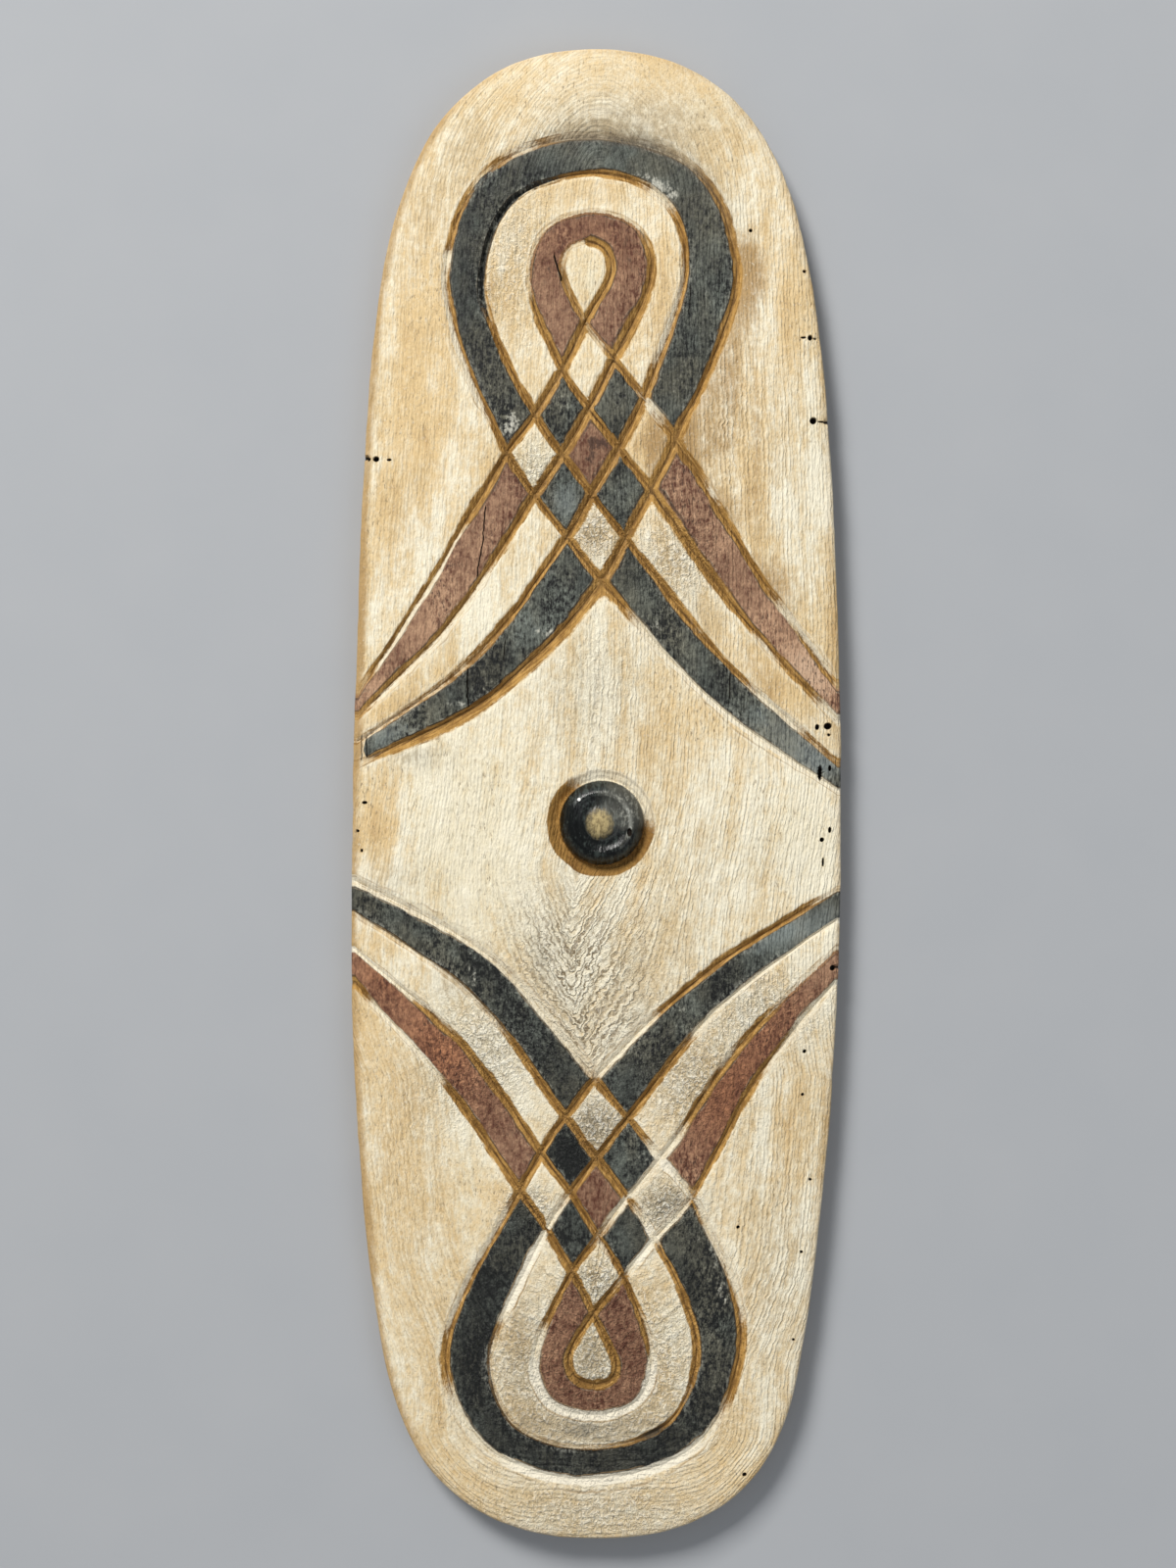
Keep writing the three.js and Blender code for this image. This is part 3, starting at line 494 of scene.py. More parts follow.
def gather(wanted, gap_to_edge, inside_of):
    """Keeps the points in order, leaving out each that is too near an earlier one or outside."""
    kept, cells, size = [], {}, 1.2
    for number, (pts, gap) in enumerate(wanted):
        if number:
            i, d = nearest(rim_tree, pts)
            y = pts[:, 1] + MIDDLE[1]
            inside = np.abs(pts[:, 0] + MIDDLE[0] - midline(y)) < half_breadth(y)
            pts = pts[inside & (np.abs(pts[:, 1]) < HALF_BOX[1]) & (d > inside_of + gap_to_edge)]
        for p in pts:
            x, y = float(p[0]), float(p[1])
            cx, cy = int(x // size), int(y // size)
            if gap and any((x - a) ** 2 + (y - b) ** 2 < gap * gap
                           for ox in (-1, 0, 1) for oy in (-1, 0, 1) for a, b in cells.get((cx + ox, cy + oy), ())):
                continue
            cells.setdefault((cx, cy), []).append((x, y))
            kept.append((x, y))
    return np.array(kept)


def triangulate(points, count):
    """Triangles inside the first count points, taken as a closed outline."""
    out = delaunay_2d_cdt([Vector((float(a), float(b))) for a, b in points], [], [list(range(count))], 1, 1e-5, True)
    verts = np.array([(v[0], v[1]) for v in out[0]])
    back = {}
    for i, olds in enumerate(out[3]):
        for o in olds:
            back[o] = i
    faces = np.array([f for f in out[2] if len(f) == 3])
    a, b, c = (verts[faces[:, i]] for i in range(3))
    turn = (b[:, 0] - a[:, 0]) * (c[:, 1] - a[:, 1]) - (b[:, 1] - a[:, 1]) * (c[:, 0] - a[:, 0])
    faces[turn < 0] = faces[turn < 0][:, ::-1]
    return verts, faces, np.array([back[i] for i in range(count)])


face_xy, face_tris, face_rim = triangulate(gather(wanted, 0.55, ARRIS), RING_COUNT)


# --------------------------------------------------------------------------
# height of the face, and what the paint needs to know
# --------------------------------------------------------------------------
def face_fields(xy):
    x, y = xy[:, 0], xy[:, 1]
    i, d = nearest(cut_tree, xy)
    to = xy - cut_at[i]
    left = (to * cut_nrm[i]).sum(1) >= 0
    width = np.where(left, cut_width[0][i], cut_width[1][i])
    g = d / width
    soft = 0.5 * ((1 - g) + np.sqrt((1 - g) ** 2 + 0.012)) - 0.002
    deep = cut_depth[i] * np.where(width > 3.4, np.maximum(soft, 0) ** 1.35, np.maximum(soft, 0))
    edge = nearest(rim_tree, xy)[1]
    z = crown(x, y) - deep
    z += 0.30 * rough(x / 31, y / 70, 1) + 0.13 * rough(x / 10, y / 34, 2) + 0.05 * rough(x / 3.4, y / 15, 12)
    z -= 0.55 * np.exp(-np.maximum(0, edge - ARRIS) / 2.2) * (1 + 0.5 * rough(x / 9, y / 9, 13))
    cls = paint_class(x, y)
    fields = {"cut": np.minimum(g, 4.0), "cutmm": np.minimum(d, 12.0)}
    for c, name in ((1, "black"), (2, "red")):
        dist = nearest(edge_tree[c], xy)[1]
        fields[name] = np.clip(np.where(cls == c, dist, -dist), -9, 9)
    # boss in its sunk ring
    bx, by = x - boss[0], y - boss[1]
    r, turn = np.hypot(bx, by), np.arctan2(by, bx)
    rr = np.hypot(x - (RING_CENTRE[0] - MIDDLE[0]), y - (RING_CENTRE[1] - MIDDLE[1]))
    rr = rr + 0.35 * rough(turn * 2.6, r * 0, 14) + 0.18 * rough(turn * 9, r * 0, 15)
    well = RING_DEPTH * (1 - smooth(rr, 20.4, RING_RADIUS) ** 0.8) * (1 + 0.12 * rough(turn * 7, r / 4, 16))
    well = well * (1 - 0.6 * smooth(by * 0.055 + bx * 0.030 - 0.06, 0.36, 0.90))
    z0 = crown(boss[0:1], boss[1:2])[0]
    body = np.interp(r + 0.42 * rough(1.7 * np.cos(turn) + r / 40, 1.7 * np.sin(turn), 17), [0, 3, 5.5, 7.6, 9.6, 11.6, 12.8, 13.8, 15.2, 16.8, 18.2, 19.2, 19.7],
                     [6.0, 5.8, 5.1, 4.1, 3.8, 4.3, 5.2, 5.3, 4.5, 3.1, 1.3, -0.7, -2.7])
    body += 0.10 * rough(turn * 5, r / 3, 18)
    z = np.where(r < 19.7, np.maximum(z0 + body, z - well), z - np.where(rr < RING_RADIUS, well, 0))
    fields["boss"] = np.clip(19.5 - r, -12, 20)
    fields["well"] = np.clip(RING_RADIUS - rr, -12, 12)
    fields["bossx"], fields["bossy"] = np.clip(bx, -40, 40), np.clip(by, -40, 40)
    # holes and checks
    dark = np.zeros(len(x))
    for px, py, rx, ry, depth in HOLES:
        cx, cy = at_px(px, py)
        near = np.flatnonzero((np.abs(x - cx) < 7) & (np.abs(y - cy) < 7))
        q = np.hypot((x[near] - cx) / (rx * MM_PER_PX), (y[near] - cy) / (ry * MM_PER_PX))
        pit = 1 - smooth(q, 0.62, 1.04)
        z[near] -= depth * pit
        dark[near] = np.maximum(dark[near], 1 - smooth(q, 0.7, 1.12))
    for pts, half, depth in crack_lines:
        near = np.flatnonzero((x > pts[:, 0].min() - 3) & (x < pts[:, 0].max() + 3) & (y > pts[:, 1].min() - 3) & (y < pts[:, 1].max() + 3))
        if not len(near):
            continue
        dd = np.hypot(x[near][:, None] - pts[:, 0], y[near][:, None] - pts[:, 1]).min(1)
        z[near] -= depth * (1 - smooth(dd, 0, half * 1.05))
        dark[near] = np.maximum(dark[near], 1 - smooth(dd, half * 0.5, half * 1.5))
    fields["dark"] = dark
    fields["edge"] = np.minimum(edge, 14)
    for name, rows, base in (("tan", TAN, 0.5), ("stain_and_shade", STAIN, 0.0), ("smudge_and_shade", SMUDGE_AND_SHADE, 0.0), ("black_wear_and_sheen", BLACK_WEAR_AND_SHEEN, 0.26),
                             ("fleck_and_glint", BLACK_FLECK_AND_GLINT, 0.0), ("rworn", RED_WORN, 0.26), ("spill", SPILL, 0.0),
                             ("crisp", CRISP, 0.0), ("dirt", RED_DIRT, 0.0), ("bare", BARE, 0.0), ("reach", BROWN_REACH, 3.2), ("rich", RED_RICH, 0.0)):
        fields[name] = spots(x, y, rows, base)
    fields["chalk"], fields["split"] = looks[i, 0], looks[i, 1] * bare_side[i]
    fields["gone"], fields["painted_cut_shade"] = looks[i, 2], looks[i, 3]
    fields["shade"] = np.where((cls == 0) | (d < 2.2), cut_shade[i] * np.exp(-((d / 6.2) ** 1.05)), 0)
    fields["stain_and_shade"] = fields["stain_and_shade"] + np.where(cls == 0, cut_hug[i] * np.exp(-((d / 13.0) ** 1.6)), 0)
    fields["along"] = run[i] + 31.0 * cut_line[i]
    fields["across"] = np.clip(np.where(left, d, -d), -6, 6)
    return z, fields


def grain(x, y):
    """Distance from the heart line of the grain, and how far the lines have turned in: nested V shapes under the boss,
    leaning in below it and arching over at the top."""
    px, py = 608 + (x + MIDDLE[0]) / MM_PER_PX, 811 - (y + MIDDLE[1]) / MM_PER_PX
    heart = np.interp(py, [0, 700, 800, 900, 960, 1010, 1060, 1100, 1250, 1600], [612, 610, 604, 588, 583, 584, 594, 605, 606, 606])
    lean = px - heart
    near = np.exp(-((lean / 88) ** 2))
    turned = 0.44 * np.clip(py - 885, 0, 205) * near + 0.09 * np.maximum(0, py - 1010) + 0.04 * np.maximum(0, 640 - py)
    ramp = lambda t, soft: np.maximum(0, t) ** 2 / (np.maximum(0, t) + soft)
    turned = turned + 1.0 * ramp(200 - py, 60) + 0.30 * ramp(py - 1270, 60) + 0.55 * ramp(py - 1460, 50)
    blunt = 1e-3 + 34 * smooth(-py, -200, -90) + 30 * smooth(py, 1380, 1490)
    lean = np.sign(lean) * (np.sqrt(lean**2 + blunt**2) - blunt)
    wander = 0.9 * rough(x / 26, y / 90, 31) + 0.35 * rough(x / 7, y / 22, 32)
    return MM_PER_PX * lean, MM_PER_PX * turned + wander


face_z, F = face_fields(face_xy)

# --------------------------------------------------------------------------
# sides and back
# --------------------------------------------------------------------------
rim_z = face_z[face_rim]
rows_xyz, rows_low = [], []
wave = 0.22 * rough(ring_run / 23, ring_run * 0, 51) + 0.10 * rough(ring_run / 6, ring_run * 0, 52)
wave *= np.minimum(1, 1)
steps = [(ARRIS * (1 - math.sin(a)), ARRIS * (1 - math.cos(a))) for a in np.radians([22, 45, 67, 90])]
for inset, drop in steps:
    p = ring - ring_out * inset + ring_out * (wave * (1 - inset / ARRIS))[:, None]
    rows_xyz.append(np.column_stack([p, rim_z - drop]))
    rows_low.append(np.full(RING_COUNT, drop))
top = rim_z - ARRIS
for share in (0.3, 0.62, 0.86):
    z = top + (BACK_ARRIS - top) * share
    p = ring + ring_out * (wave * (1 - share) + 0.16 * rough(ring_run / 5, ring_run * 0 + share * 9, 53) - 0.1)[:, None]
    rows_xyz.append(np.column_stack([p, z]))
    rows_low.append(rim_z - z)
for a in np.radians([0, 30, 60]):
    inset, z = BACK_ARRIS * (1 - math.cos(a)), BACK_ARRIS * (1 - math.sin(a))
    p = ring - ring_out * inset + ring_out * (0.1 * rough(ring_run / 5, ring_run * 0 + 9, 53) - 0.1)[:, None]
    rows_xyz.append(np.column_stack([p, np.full(RING_COUNT, z)]))
    rows_low.append(rim_z - z)

back_lip = ring - ring_out * BACK_ARRIS
inner = ring[::2] - ring_out[::2] * BACK_RIM
BSTEP = 2.75
gx, gy = np.meshgrid(np.arange(-114, 114, BSTEP), np.arange(-344, 344, BSTEP * 0.866))
gx = gx + (np.arange(gx.shape[0]) % 2)[:, None] * BSTEP / 2
gx = gx + 0.35 * rough(gx * 3.1, gy * 3.1, 23)
back_xy, back_tris, back_rim = triangulate(
    gather([(back_lip, 0.0), (inner, 1.0), (np.stack([gx.ravel(), gy.ravel()], 1), 1.9)], 0.9, BACK_ARRIS), RING_COUNT)


def back_height(xy):
    x, y = xy[:, 0], xy[:, 1]
    inset = nearest(rim_tree, xy)[1]
    t = np.clip((inset - BACK_RIM + 1.5) / 34, 0, 1)
    hollow = BACK_HOLLOW * (1 - (1 - t) ** 2.2)
    cut = np.zeros(len(x))
    seeds = np.random.default_rng(11)
    for row, cy in enumerate(np.arange(-350, 351, 25.0)):
        for cx in np.arange(-108, 109, 18.0) + (row % 2) * 9.0:
            jx, jy, dj, wj = seeds.normal(0, 3.0), seeds.normal(0, 6.0), seeds.uniform(0.45, 1.0), seeds.uniform(0.85, 1.2)
            near = np.flatnonzero((np.abs(x - cx - jx) < 22) & (np.abs(y - cy - jy) < 46))
            q = ((x[near] - cx - jx) / (12.5 * wj)) ** 2 + ((y[near] - cy - jy) / (22.0 * wj)) ** 2
            cut[near] = np.maximum(cut[near], dj * (1 - q))
    z = hollow + cut * smooth(inset, BACK_RIM - 4, BACK_RIM + 6) * 1.5
    z += smooth(inset, BACK_ARRIS, BACK_ARRIS + 3) * (0.10 + 0.10 * rough(x / 12, y / 12, 61)) * (1 - smooth(inset, BACK_RIM - 5, BACK_RIM))
    z += 0.06 * rough(x / 2.6, y / 30, 62) * smooth(inset, BACK_RIM, BACK_RIM + 6)
    return np.maximum(z, 0), inset, cut


back_z, back_inset, back_cut = back_height(back_xy)
back_z[back_rim] = 0.0

# --------------------------------------------------------------------------
# one closed mesh
# --------------------------------------------------------------------------
nf, nb, n = len(face_xy), len(back_xy), RING_COUNT
points = [np.column_stack([face_xy, face_z])] + rows_xyz + [np.column_stack([back_xy, back_z])]
tris = [face_tris]
loops = [face_rim] + [nf + n * j + np.arange(n) for j in range(len(rows_xyz))] + [nf + n * len(rows_xyz) + back_rim]
for upper, lower in zip(loops[:-1], loops[1:]):
    u0, l0, u1, l1 = upper, lower, np.roll(upper, -1), np.roll(lower, -1)
    tris += [np.column_stack([u0, l0, u1]), np.column_stack([u1, l0, l1])]
tris.append(back_tris[:, ::-1] + nf + n * len(rows_xyz))
points, tris = np.vstack(points), np.vstack(tris)

# the sides carry on what the face's edge shows; the back is bare
side_count = n * len(rows_xyz)
low = np.concatenate([np.zeros(nf), *rows_low, np.full(nb, 40.0)])
fields = {}
defaults = {"cut": 4.0, "cutmm": 12.0, "black": -9.0, "red": -9.0, "boss": -12.0, "well": -12.0, "bossx": 40.0, "bossy": 40.0,
            "dark": 0.0, "edge": 14.0, "tan": 0.6, "stain_and_shade": 0.0, "smudge_and_shade": 0.0, "black_wear_and_sheen": 0.3, "fleck_and_glint": 0.0, "rworn": 0.3, "chalk": 0.0,
            "spill": 0.0, "reach": 1.75, "gone": 0.0, "painted_cut_shade": 0.0, "split": 0.0, "shade": 0.0, "rich": 0.0, "crisp": 0.0, "dirt": 0.0, "bare": 0.0, "along": 0.0, "across": 6.0}
for name, values in F.items():
    fields[name] = np.concatenate([values, np.tile(values[face_rim], len(rows_xyz)), np.full(nb, defaults[name])])
fields["edge"][nf:nf + side_count] = 0.0
fields["low"] = low
# the sides unfold outwards, so the grain carries on over the edge
flat = points[:, :2].copy()
down, above = np.zeros(n), np.column_stack([lip, rim_z])
for j, row in enumerate(rows_xyz):
    down = down + np.sqrt(((row - above) ** 2).sum(1))
    flat[nf + n * j: nf + n * (j + 1)] = lip + ring_out * down[:, None]
    above = row
fields["ux"], fields["uy"] = flat[:, 0], flat[:, 1]
fields["lean"], fields["turned"] = grain(flat[:, 0], flat[:, 1])
fields["turned"][nf + side_count:] = 1.6 * rough(back_xy[:, 0] / 30, back_xy[:, 1] / 120, 33)
gr, yy = np.abs(fields["lean"]) + fields["turned"], flat[:, 1]
fields["streak"] = (0.55 * rough(gr / 12.0 + flat[:, 0] / 90, yy / 80, 71) + 0.5 * rough(gr / 6.0, yy / 46 + flat[:, 0] / 60, 72)
                    + 0.4 * rough(gr / 3.2, yy / 26 + flat[:, 0] / 40, 73))
fields["cloud"] = (0.55 * rough(flat[:, 0] / 26, yy / 38, 74) + 0.5 * rough(flat[:, 0] / 12, yy / 19, 75)
                   + 0.4 * rough(flat[:, 0] / 5.5, yy / 9, 76))
fields["blot"] = 0.55 * rough(flat[:, 0] / 11, yy / 17, 77) + 0.45 * rough(flat[:, 0] / 5, yy / 9, 78)
fields["patch"] = 0.6 * rough(flat[:, 0] / 17, yy / 44, 80) + 0.5 * rough(flat[:, 0] / 7, yy / 19, 81)
fields["patch"] -= spots(flat[:, 0], flat[:, 1], [(610, 90, 170, 70, 0.55), (605, 1545, 170, 46, 0.45), (600, 240, 110, 90, 0.30), (600, 1400, 100, 90, 0.30)])
fields["streak"] *= 0.74 - spots(flat[:, 0], flat[:, 1], [(610, 100, 160, 70, 0.50), (605, 1540, 160, 50, 0.40), (410, 1180, 60, 150, 0.30)])
fields["calm"] = np.clip(spots(flat[:, 0], flat[:, 1], [(610, 80, 200, 60, 0.70), (605, 1550, 200, 40, 0.45), (600, 240, 110, 90, 0.25)]), 0, 0.75)
fields["crumple"] = np.clip(spots(flat[:, 0], flat[:, 1], CRUMPLED, 0.03), 0, 1)
fields["vee"] = np.clip(spots(flat[:, 0], flat[:, 1], LINED), 0, 1)
fields["rim_wear_and_shade"] = 0.34 + 0.46 * smooth(-flat[:, 0], 55, 95) + 0.1 * rough(flat[:, 0] / 9, yy / 26, 79)
fields["back"] = np.concatenate([np.zeros(nf + side_count), smooth(back_inset, BACK_RIM - 3, BACK_RIM + 9)])
fields["adze"] = np.concatenate([np.zeros(nf + side_count), back_cut])

mesh = bpy.data.meshes.new("shield")
mesh.vertices.add(len(points))
mesh.vertices.foreach_set("co", (points / 1000).astype(np.float32).ravel())
mesh.loops.add(3 * len(tris))
mesh.loops.foreach_set("vertex_index", tris.astype(np.int32).ravel())
mesh.polygons.add(len(tris))
mesh.polygons.foreach_set("loop_start", np.arange(0, 3 * len(tris), 3, dtype=np.int32))
mesh.polygons.foreach_set("use_smooth", np.ones(len(tris), bool))
for name, values in fields.items():
    mesh.attributes.new(name, "FLOAT", "POINT").data.foreach_set("value", values.astype(np.float32))

# a layout of its own for the surface: face, back and the strip of the sides
uv = np.zeros((len(tris), 3, 2))
kind = np.zeros(len(tris), int)
kind[len(face_tris):] = 1
kind[len(tris) - len(back_tris):] = 2
corner = points[tris]
plane = lambda c: np.stack([(c[..., 0] + 114) / 228, (c[..., 1] + 344) / 688], -1)
uv[kind == 0] = plane(corner[kind == 0]) * (0.455, 0.98) + (0.005, 0.01)
uv[kind == 2] = plane(corner[kind == 2]) * (0.455, 0.98) + (0.465, 0.01)
strip = np.zeros((len(points), 2))
for j, loop in enumerate(loops):
    strip[loop, 0] = ring_run / ring_length
    strip[loop, 1] = j / (len(loops) - 1)
s = strip[tris[kind == 1]]
s[..., 0] = np.where((s[..., 0].max(1) - s[..., 0].min(1) > 0.5)[:, None] & (s[..., 0] < 0.5), s[..., 0] + 1, s[..., 0])
part = np.minimum(2, np.floor(s[..., 0].min(1) * 3 + 1e-6))
uv[kind == 1] = np.stack([0.926 + part[:, None] * 0.0245 + s[..., 1] * 0.021, 0.01 + (s[..., 0] * 3 - part[:, None]) * 0.955], -1)
layer = mesh.uv_layers.new(name="OFBake")
layer.data.foreach_set("uv", uv.astype(np.float32).ravel())
mesh.update()
mesh.validate()
mesh.set_sharp_from_angle(angle=math.radians(36))

shield = bpy.data.objects.new("carved_shield", mesh)
bpy.context.scene.collection.objects.link(shield)


# --------------------------------------------------------------------------
# material
# --------------------------------------------------------------------------
class Out:
    """A socket with arithmetic."""

    def __init__(self, tree, socket):
        self.tree, self.socket = tree, socket

    def _math(self, op, other, flip=False, clamp=False):
        node = self.tree.nodes.new("ShaderNodeMath")
        node.operation, node.use_clamp = op, clamp
        pair = (other, self) if flip else (self, other)
        for slot, value in zip(node.inputs, pair):
            if isinstance(value, Out):
                self.tree.links.new(value.socket, slot)
            elif value is not None:
                slot.default_value = value
        return Out(self.tree, node.outputs[0])

    def __add__(self, o): return self._math("ADD", o)
    def __radd__(self, o): return self._math("ADD", o, True)
    def __sub__(self, o): return self._math("SUBTRACT", o)
    def __rsub__(self, o): return self._math("SUBTRACT", o, True)
    def __mul__(self, o): return self._math("MULTIPLY", o)
    def __rmul__(self, o): return self._math("MULTIPLY", o, True)
    def __truediv__(self, o): return self._math("DIVIDE", o)
    def __pow__(self, o): return self._math("POWER", o)
    def high(self, o): return self._math("MAXIMUM", o)
    def less(self, o): return self._math("MINIMUM", o)
    def clamp(self): return self._math("ADD", 0.0, clamp=True)
    def sin(self): return self._math("SINE", None)

    def step(self, lo, hi):
        node = self.tree.nodes.new("ShaderNodeMapRange")
        node.interpolation_type = "SMOOTHSTEP"
        self.tree.links.new(self.socket, node.inputs[0])
        for slot, value in ((1, lo), (2, hi)):
            if isinstance(value, Out):
                self.tree.links.new(value.socket, node.inputs[slot])
            else:
                node.inputs[slot].default_value = value
        return Out(self.tree, node.outputs[0])


class Paint:
    """Builds one node material."""

    def __init__(self, name):
        self.material = bpy.data.materials.new(name)
        self.material.use_nodes = True
        self.tree = self.material.node_tree
        self.shader = self.tree.nodes["Principled BSDF"]
        place = self.tree.nodes.new("ShaderNodeTexCoord").outputs["Object"]
        split = self.tree.nodes.new("ShaderNodeSeparateXYZ")
        self.tree.links.new(place, split.inputs[0])
        self.x, self.y, self.z = (Out(self.tree, o) * 1000.0 for o in split.outputs)

    def attr(self, name):
        node = self.tree.nodes.new("ShaderNodeAttribute")
        node.attribute_name = name
        return Out(self.tree, node.outputs["Fac"])

    def vec(self, x, y, z=0.0):
        node = self.tree.nodes.new("ShaderNodeCombineXYZ")
        for slot, value in zip(node.inputs, (x, y, z)):
            if isinstance(value, Out):
                self.tree.links.new(value.socket, slot)
            else:
                slot.default_value = value
        return node.outputs[0]

    def noise(self, vector, detail=2.0, rough=0.5, warp=0.0):
        node = self.tree.nodes.new("ShaderNodeTexNoise")
        node.inputs["Scale"].default_value = 1.0
        node.inputs["Detail"].default_value = detail
        node.inputs["Roughness"].default_value = rough
        node.inputs["Distortion"].default_value = warp
        self.tree.links.new(vector, node.inputs["Vector"])
        return Out(self.tree, node.outputs[0])

    def mix(self, a, b, share):
        node = self.tree.nodes.new("ShaderNodeMix")
        node.data_type = "RGBA"
        node.clamp_factor = True
        for slot, value in ((node.inputs[6], a), (node.inputs[7], b), (node.inputs[0], share)):
            if isinstance(value, Out):
                self.tree.links.new(value.socket, slot)
            elif isinstance(value, (int, float)):
                slot.default_value = value
            elif hasattr(value, "is_linked"):
                self.tree.links.new(value, slot)
            else:
                slot.default_value = (*value, 1.0)
        return node.outputs[2]

    def set(self, name, value):
        self.tree.links.new(value.socket if isinstance(value, Out) else value, self.shader.inputs[name])


P = Paint("painted_wood")
x, y = P.attr("ux"), P.attr("uy")
lean, cut, cutmm, low = P.attr("lean"), P.attr("cut"), P.attr("cutmm"), P.attr("low")
edge, dark = P.attr("edge"), P.attr("dark")
smudge_and_shade = P.attr("smudge_and_shade")
chalk = P.attr("chalk") + P.attr("split") * 0.5 * (P.attr("across") * 1.1).high(-1.0).less(1.0)

# grain: fine lines along the rings, wavy under the boss, with pores and a speckle over them
streak, cloud, blot, vee, patch = P.attr("streak"), P.attr("cloud"), P.attr("blot"), P.attr("vee"), P.attr("patch")
wiggle = P.noise(P.vec(x * 0.25, y * 0.25), 2.0, 0.6)
g2 = (lean * lean + 0.5) ** 0.5 + P.attr("turned") + (wiggle - 0.5) * (vee * 5.0 + P.attr("crumple") * 0.6 + 1.1)
fibre = P.noise(P.vec(g2 * 0.55, y * 0.075, x * 0.06), 2.0, 0.70)
fibre = (fibre - 0.5) * (1.0 - P.attr("calm")) + 0.5
mottle = P.noise(P.vec(x * 0.27, y * 0.19, 17.0), 2.0, 0.6)
ridge = ((g2 * 3.6 + (fibre - 0.5) * 8.0).sin() * 0.5 + 0.5)
ridge = (ridge - 0.5) * (1.0 - P.attr("calm")) + 0.5
rings = ((g2 * 2.9 + (fibre - 0.5) * 9.0).sin() * 0.5 + 0.5)
pores = P.noise(P.vec(x * 0.95, y * 0.30, 3.0), 2.0, 0.6)
speck = P.noise(P.vec(x * 0.52, y * 0.42, 9.0), 2.0, 0.75)
brush = P.noise(P.vec(x * 0.62, y * 0.17, 11.0), 2.0, 0.75)
carve = P.noise(P.vec(P.attr("across") * 1.25, P.attr("along") * 0.13, 5.0), 2.0, 0.65)

# pale wood under a chalky wash that is worn along the grain
grit = (fibre - 0.5) * 1.9 + (speck - 0.5) * 1.35 + (mottle - 0.5) * 1.7
lined, dotted = (patch * 1.5 + 0.30).clamp(), (cloud * 0.9 - patch * 0.6 + 0.30).clamp()
worn = P.attr("tan") + streak * 0.48 + cloud * 0.20 + grit * 0.46
white = P.mix((0.945, 0.880, 0.690), (0.805, 0.705, 0.475), (cloud * 0.35 + streak * 0.35 + 0.36 + grit * 0.5).clamp())
ground = P.mix(white, (0.765, 0.565, 0.292), worn.step(0.05, 1.0))
ground = P.mix(ground, (0.52, 0.335, 0.140), (worn + streak * 0.25).step(0.85, 1.65) * 0.9)
# stains and hugging brown, plus brown towards the edge of the board: partly worn wood, partly painted shade on the
# rounded arris
stain_and_shade = P.attr("stain_and_shade") + (1.0 - edge.step(0.2, 6.5)) * P.attr("rim_wear_and_shade") * (0.75 + streak * 0.4)
ground = P.mix(ground, (0.42, 0.255, 0.095), (stain_and_shade + grit * 0.30 + streak * 0.15).step(0.10, 0.95) * (stain_and_shade * 2.0).clamp() * 0.85)
line = ridge.step(0.45, 1.0) * (0.05 + worn.step(0.2, 1.0) * 0.28) * lined + rings.step(0.50, 0.84) * vee * (0.86 + (speck - 0.5) * 2.4 + (mottle - 0.5) * 3.0).clamp()
ground = P.mix(ground, P.mix((0.29, 0.205, 0.108), (0.205, 0.148, 0.078), vee), line)
ground = P.mix(ground, (0.24, 0.175, 0.10), pores.step(0.56, 0.72) * (0.12 + dotted * 0.75))
ground = P.mix(ground, (0.92, 0.865, 0.70), (speck.step(0.56, 0.76) * 0.45 + vee * (1.0 - rings).step(0.6, 1.0) * 0.40))
crease = (1.0 - ((mottle - 0.5) * (mottle - 0.5) * 260.0).step(0.0, 1.0)).high((1.0 - ((speck - 0.47) * (speck - 0.47) * 420.0).step(0.0, 1.0)) * 0.8) * P.attr("crumple")
fold = P.noise(P.vec(x * 0.36, y * 0.30, 41.0), 2.0, 0.6, 0.6)
fold = (fold - 0.5) * (fold - 0.5)
# painted light on the crumpled wash: painted shade in its hollows and along its creases and fold lines, painted
# highlights on its rises and folds
ground = P.mix(ground, (0.27, 0.228, 0.145), P.attr("crumple") * ((0.465 - speck) * 8.0 + (0.5 - pores) * 3.0).clamp() * 0.80)
ground = P.mix(ground, (0.96, 0.91, 0.76), P.attr("crumple") * ((speck - 0.52) * 8.0).clamp() * 0.9)
ground = P.mix(ground, (0.33, 0.26, 0.165), crease * (wiggle * 2.4 - 0.65).clamp() * 0.80)
ground = P.mix(ground, (0.97, 0.93, 0.80), P.attr("crumple") * (fold * 60.0).step(0.15, 1.0) * 0.75)
ground = P.mix(ground, (0.20, 0.165, 0.10), P.attr("crumple") * (1.0 - (fold * 600.0).step(0.0, 1.0)) * 0.72)
# grey smudges, partly painted shade above the crown of the upper loop
ground = P.mix(ground, (0.30, 0.268, 0.200), (smudge_and_shade * (0.25 + (grit * 1.3 + 0.5).clamp() * 1.0)).clamp())

# a pale ridge and a fine dark line where a cut breaks the surface, the ridge partly rubbed paint and partly a painted
# highlight; brown along the edge of the board, partly worn wood and partly painted shade on the rounded arris
lip_rub_and_highlight = cut.step(0.92, 1.10) * (1.0 - cut.step(1.25, 1.9)) * (carve + blot * 0.2).step(0.38, 0.62)
ground = P.mix(ground, (0.90, 0.83, 0.65), lip_rub_and_highlight * 0.55 * (1.0 - stain_and_shade * 1.3).clamp())
lip_line = cut.step(0.92, 1.06) * (1.0 - cut.step(1.12, 1.32)) * (chalk * 1.2).clamp() * blot.step(-0.5, 0.2) * (1.0 - P.attr("gone"))
rim = 1.0 - (edge + (speck - 0.5) * 3.0 - patch * 1.4 - streak).step(0.5, 5.0)
ground = P.mix(ground, (0.46, 0.30, 0.125), rim * P.attr("rim_wear_and_shade") * 0.9)
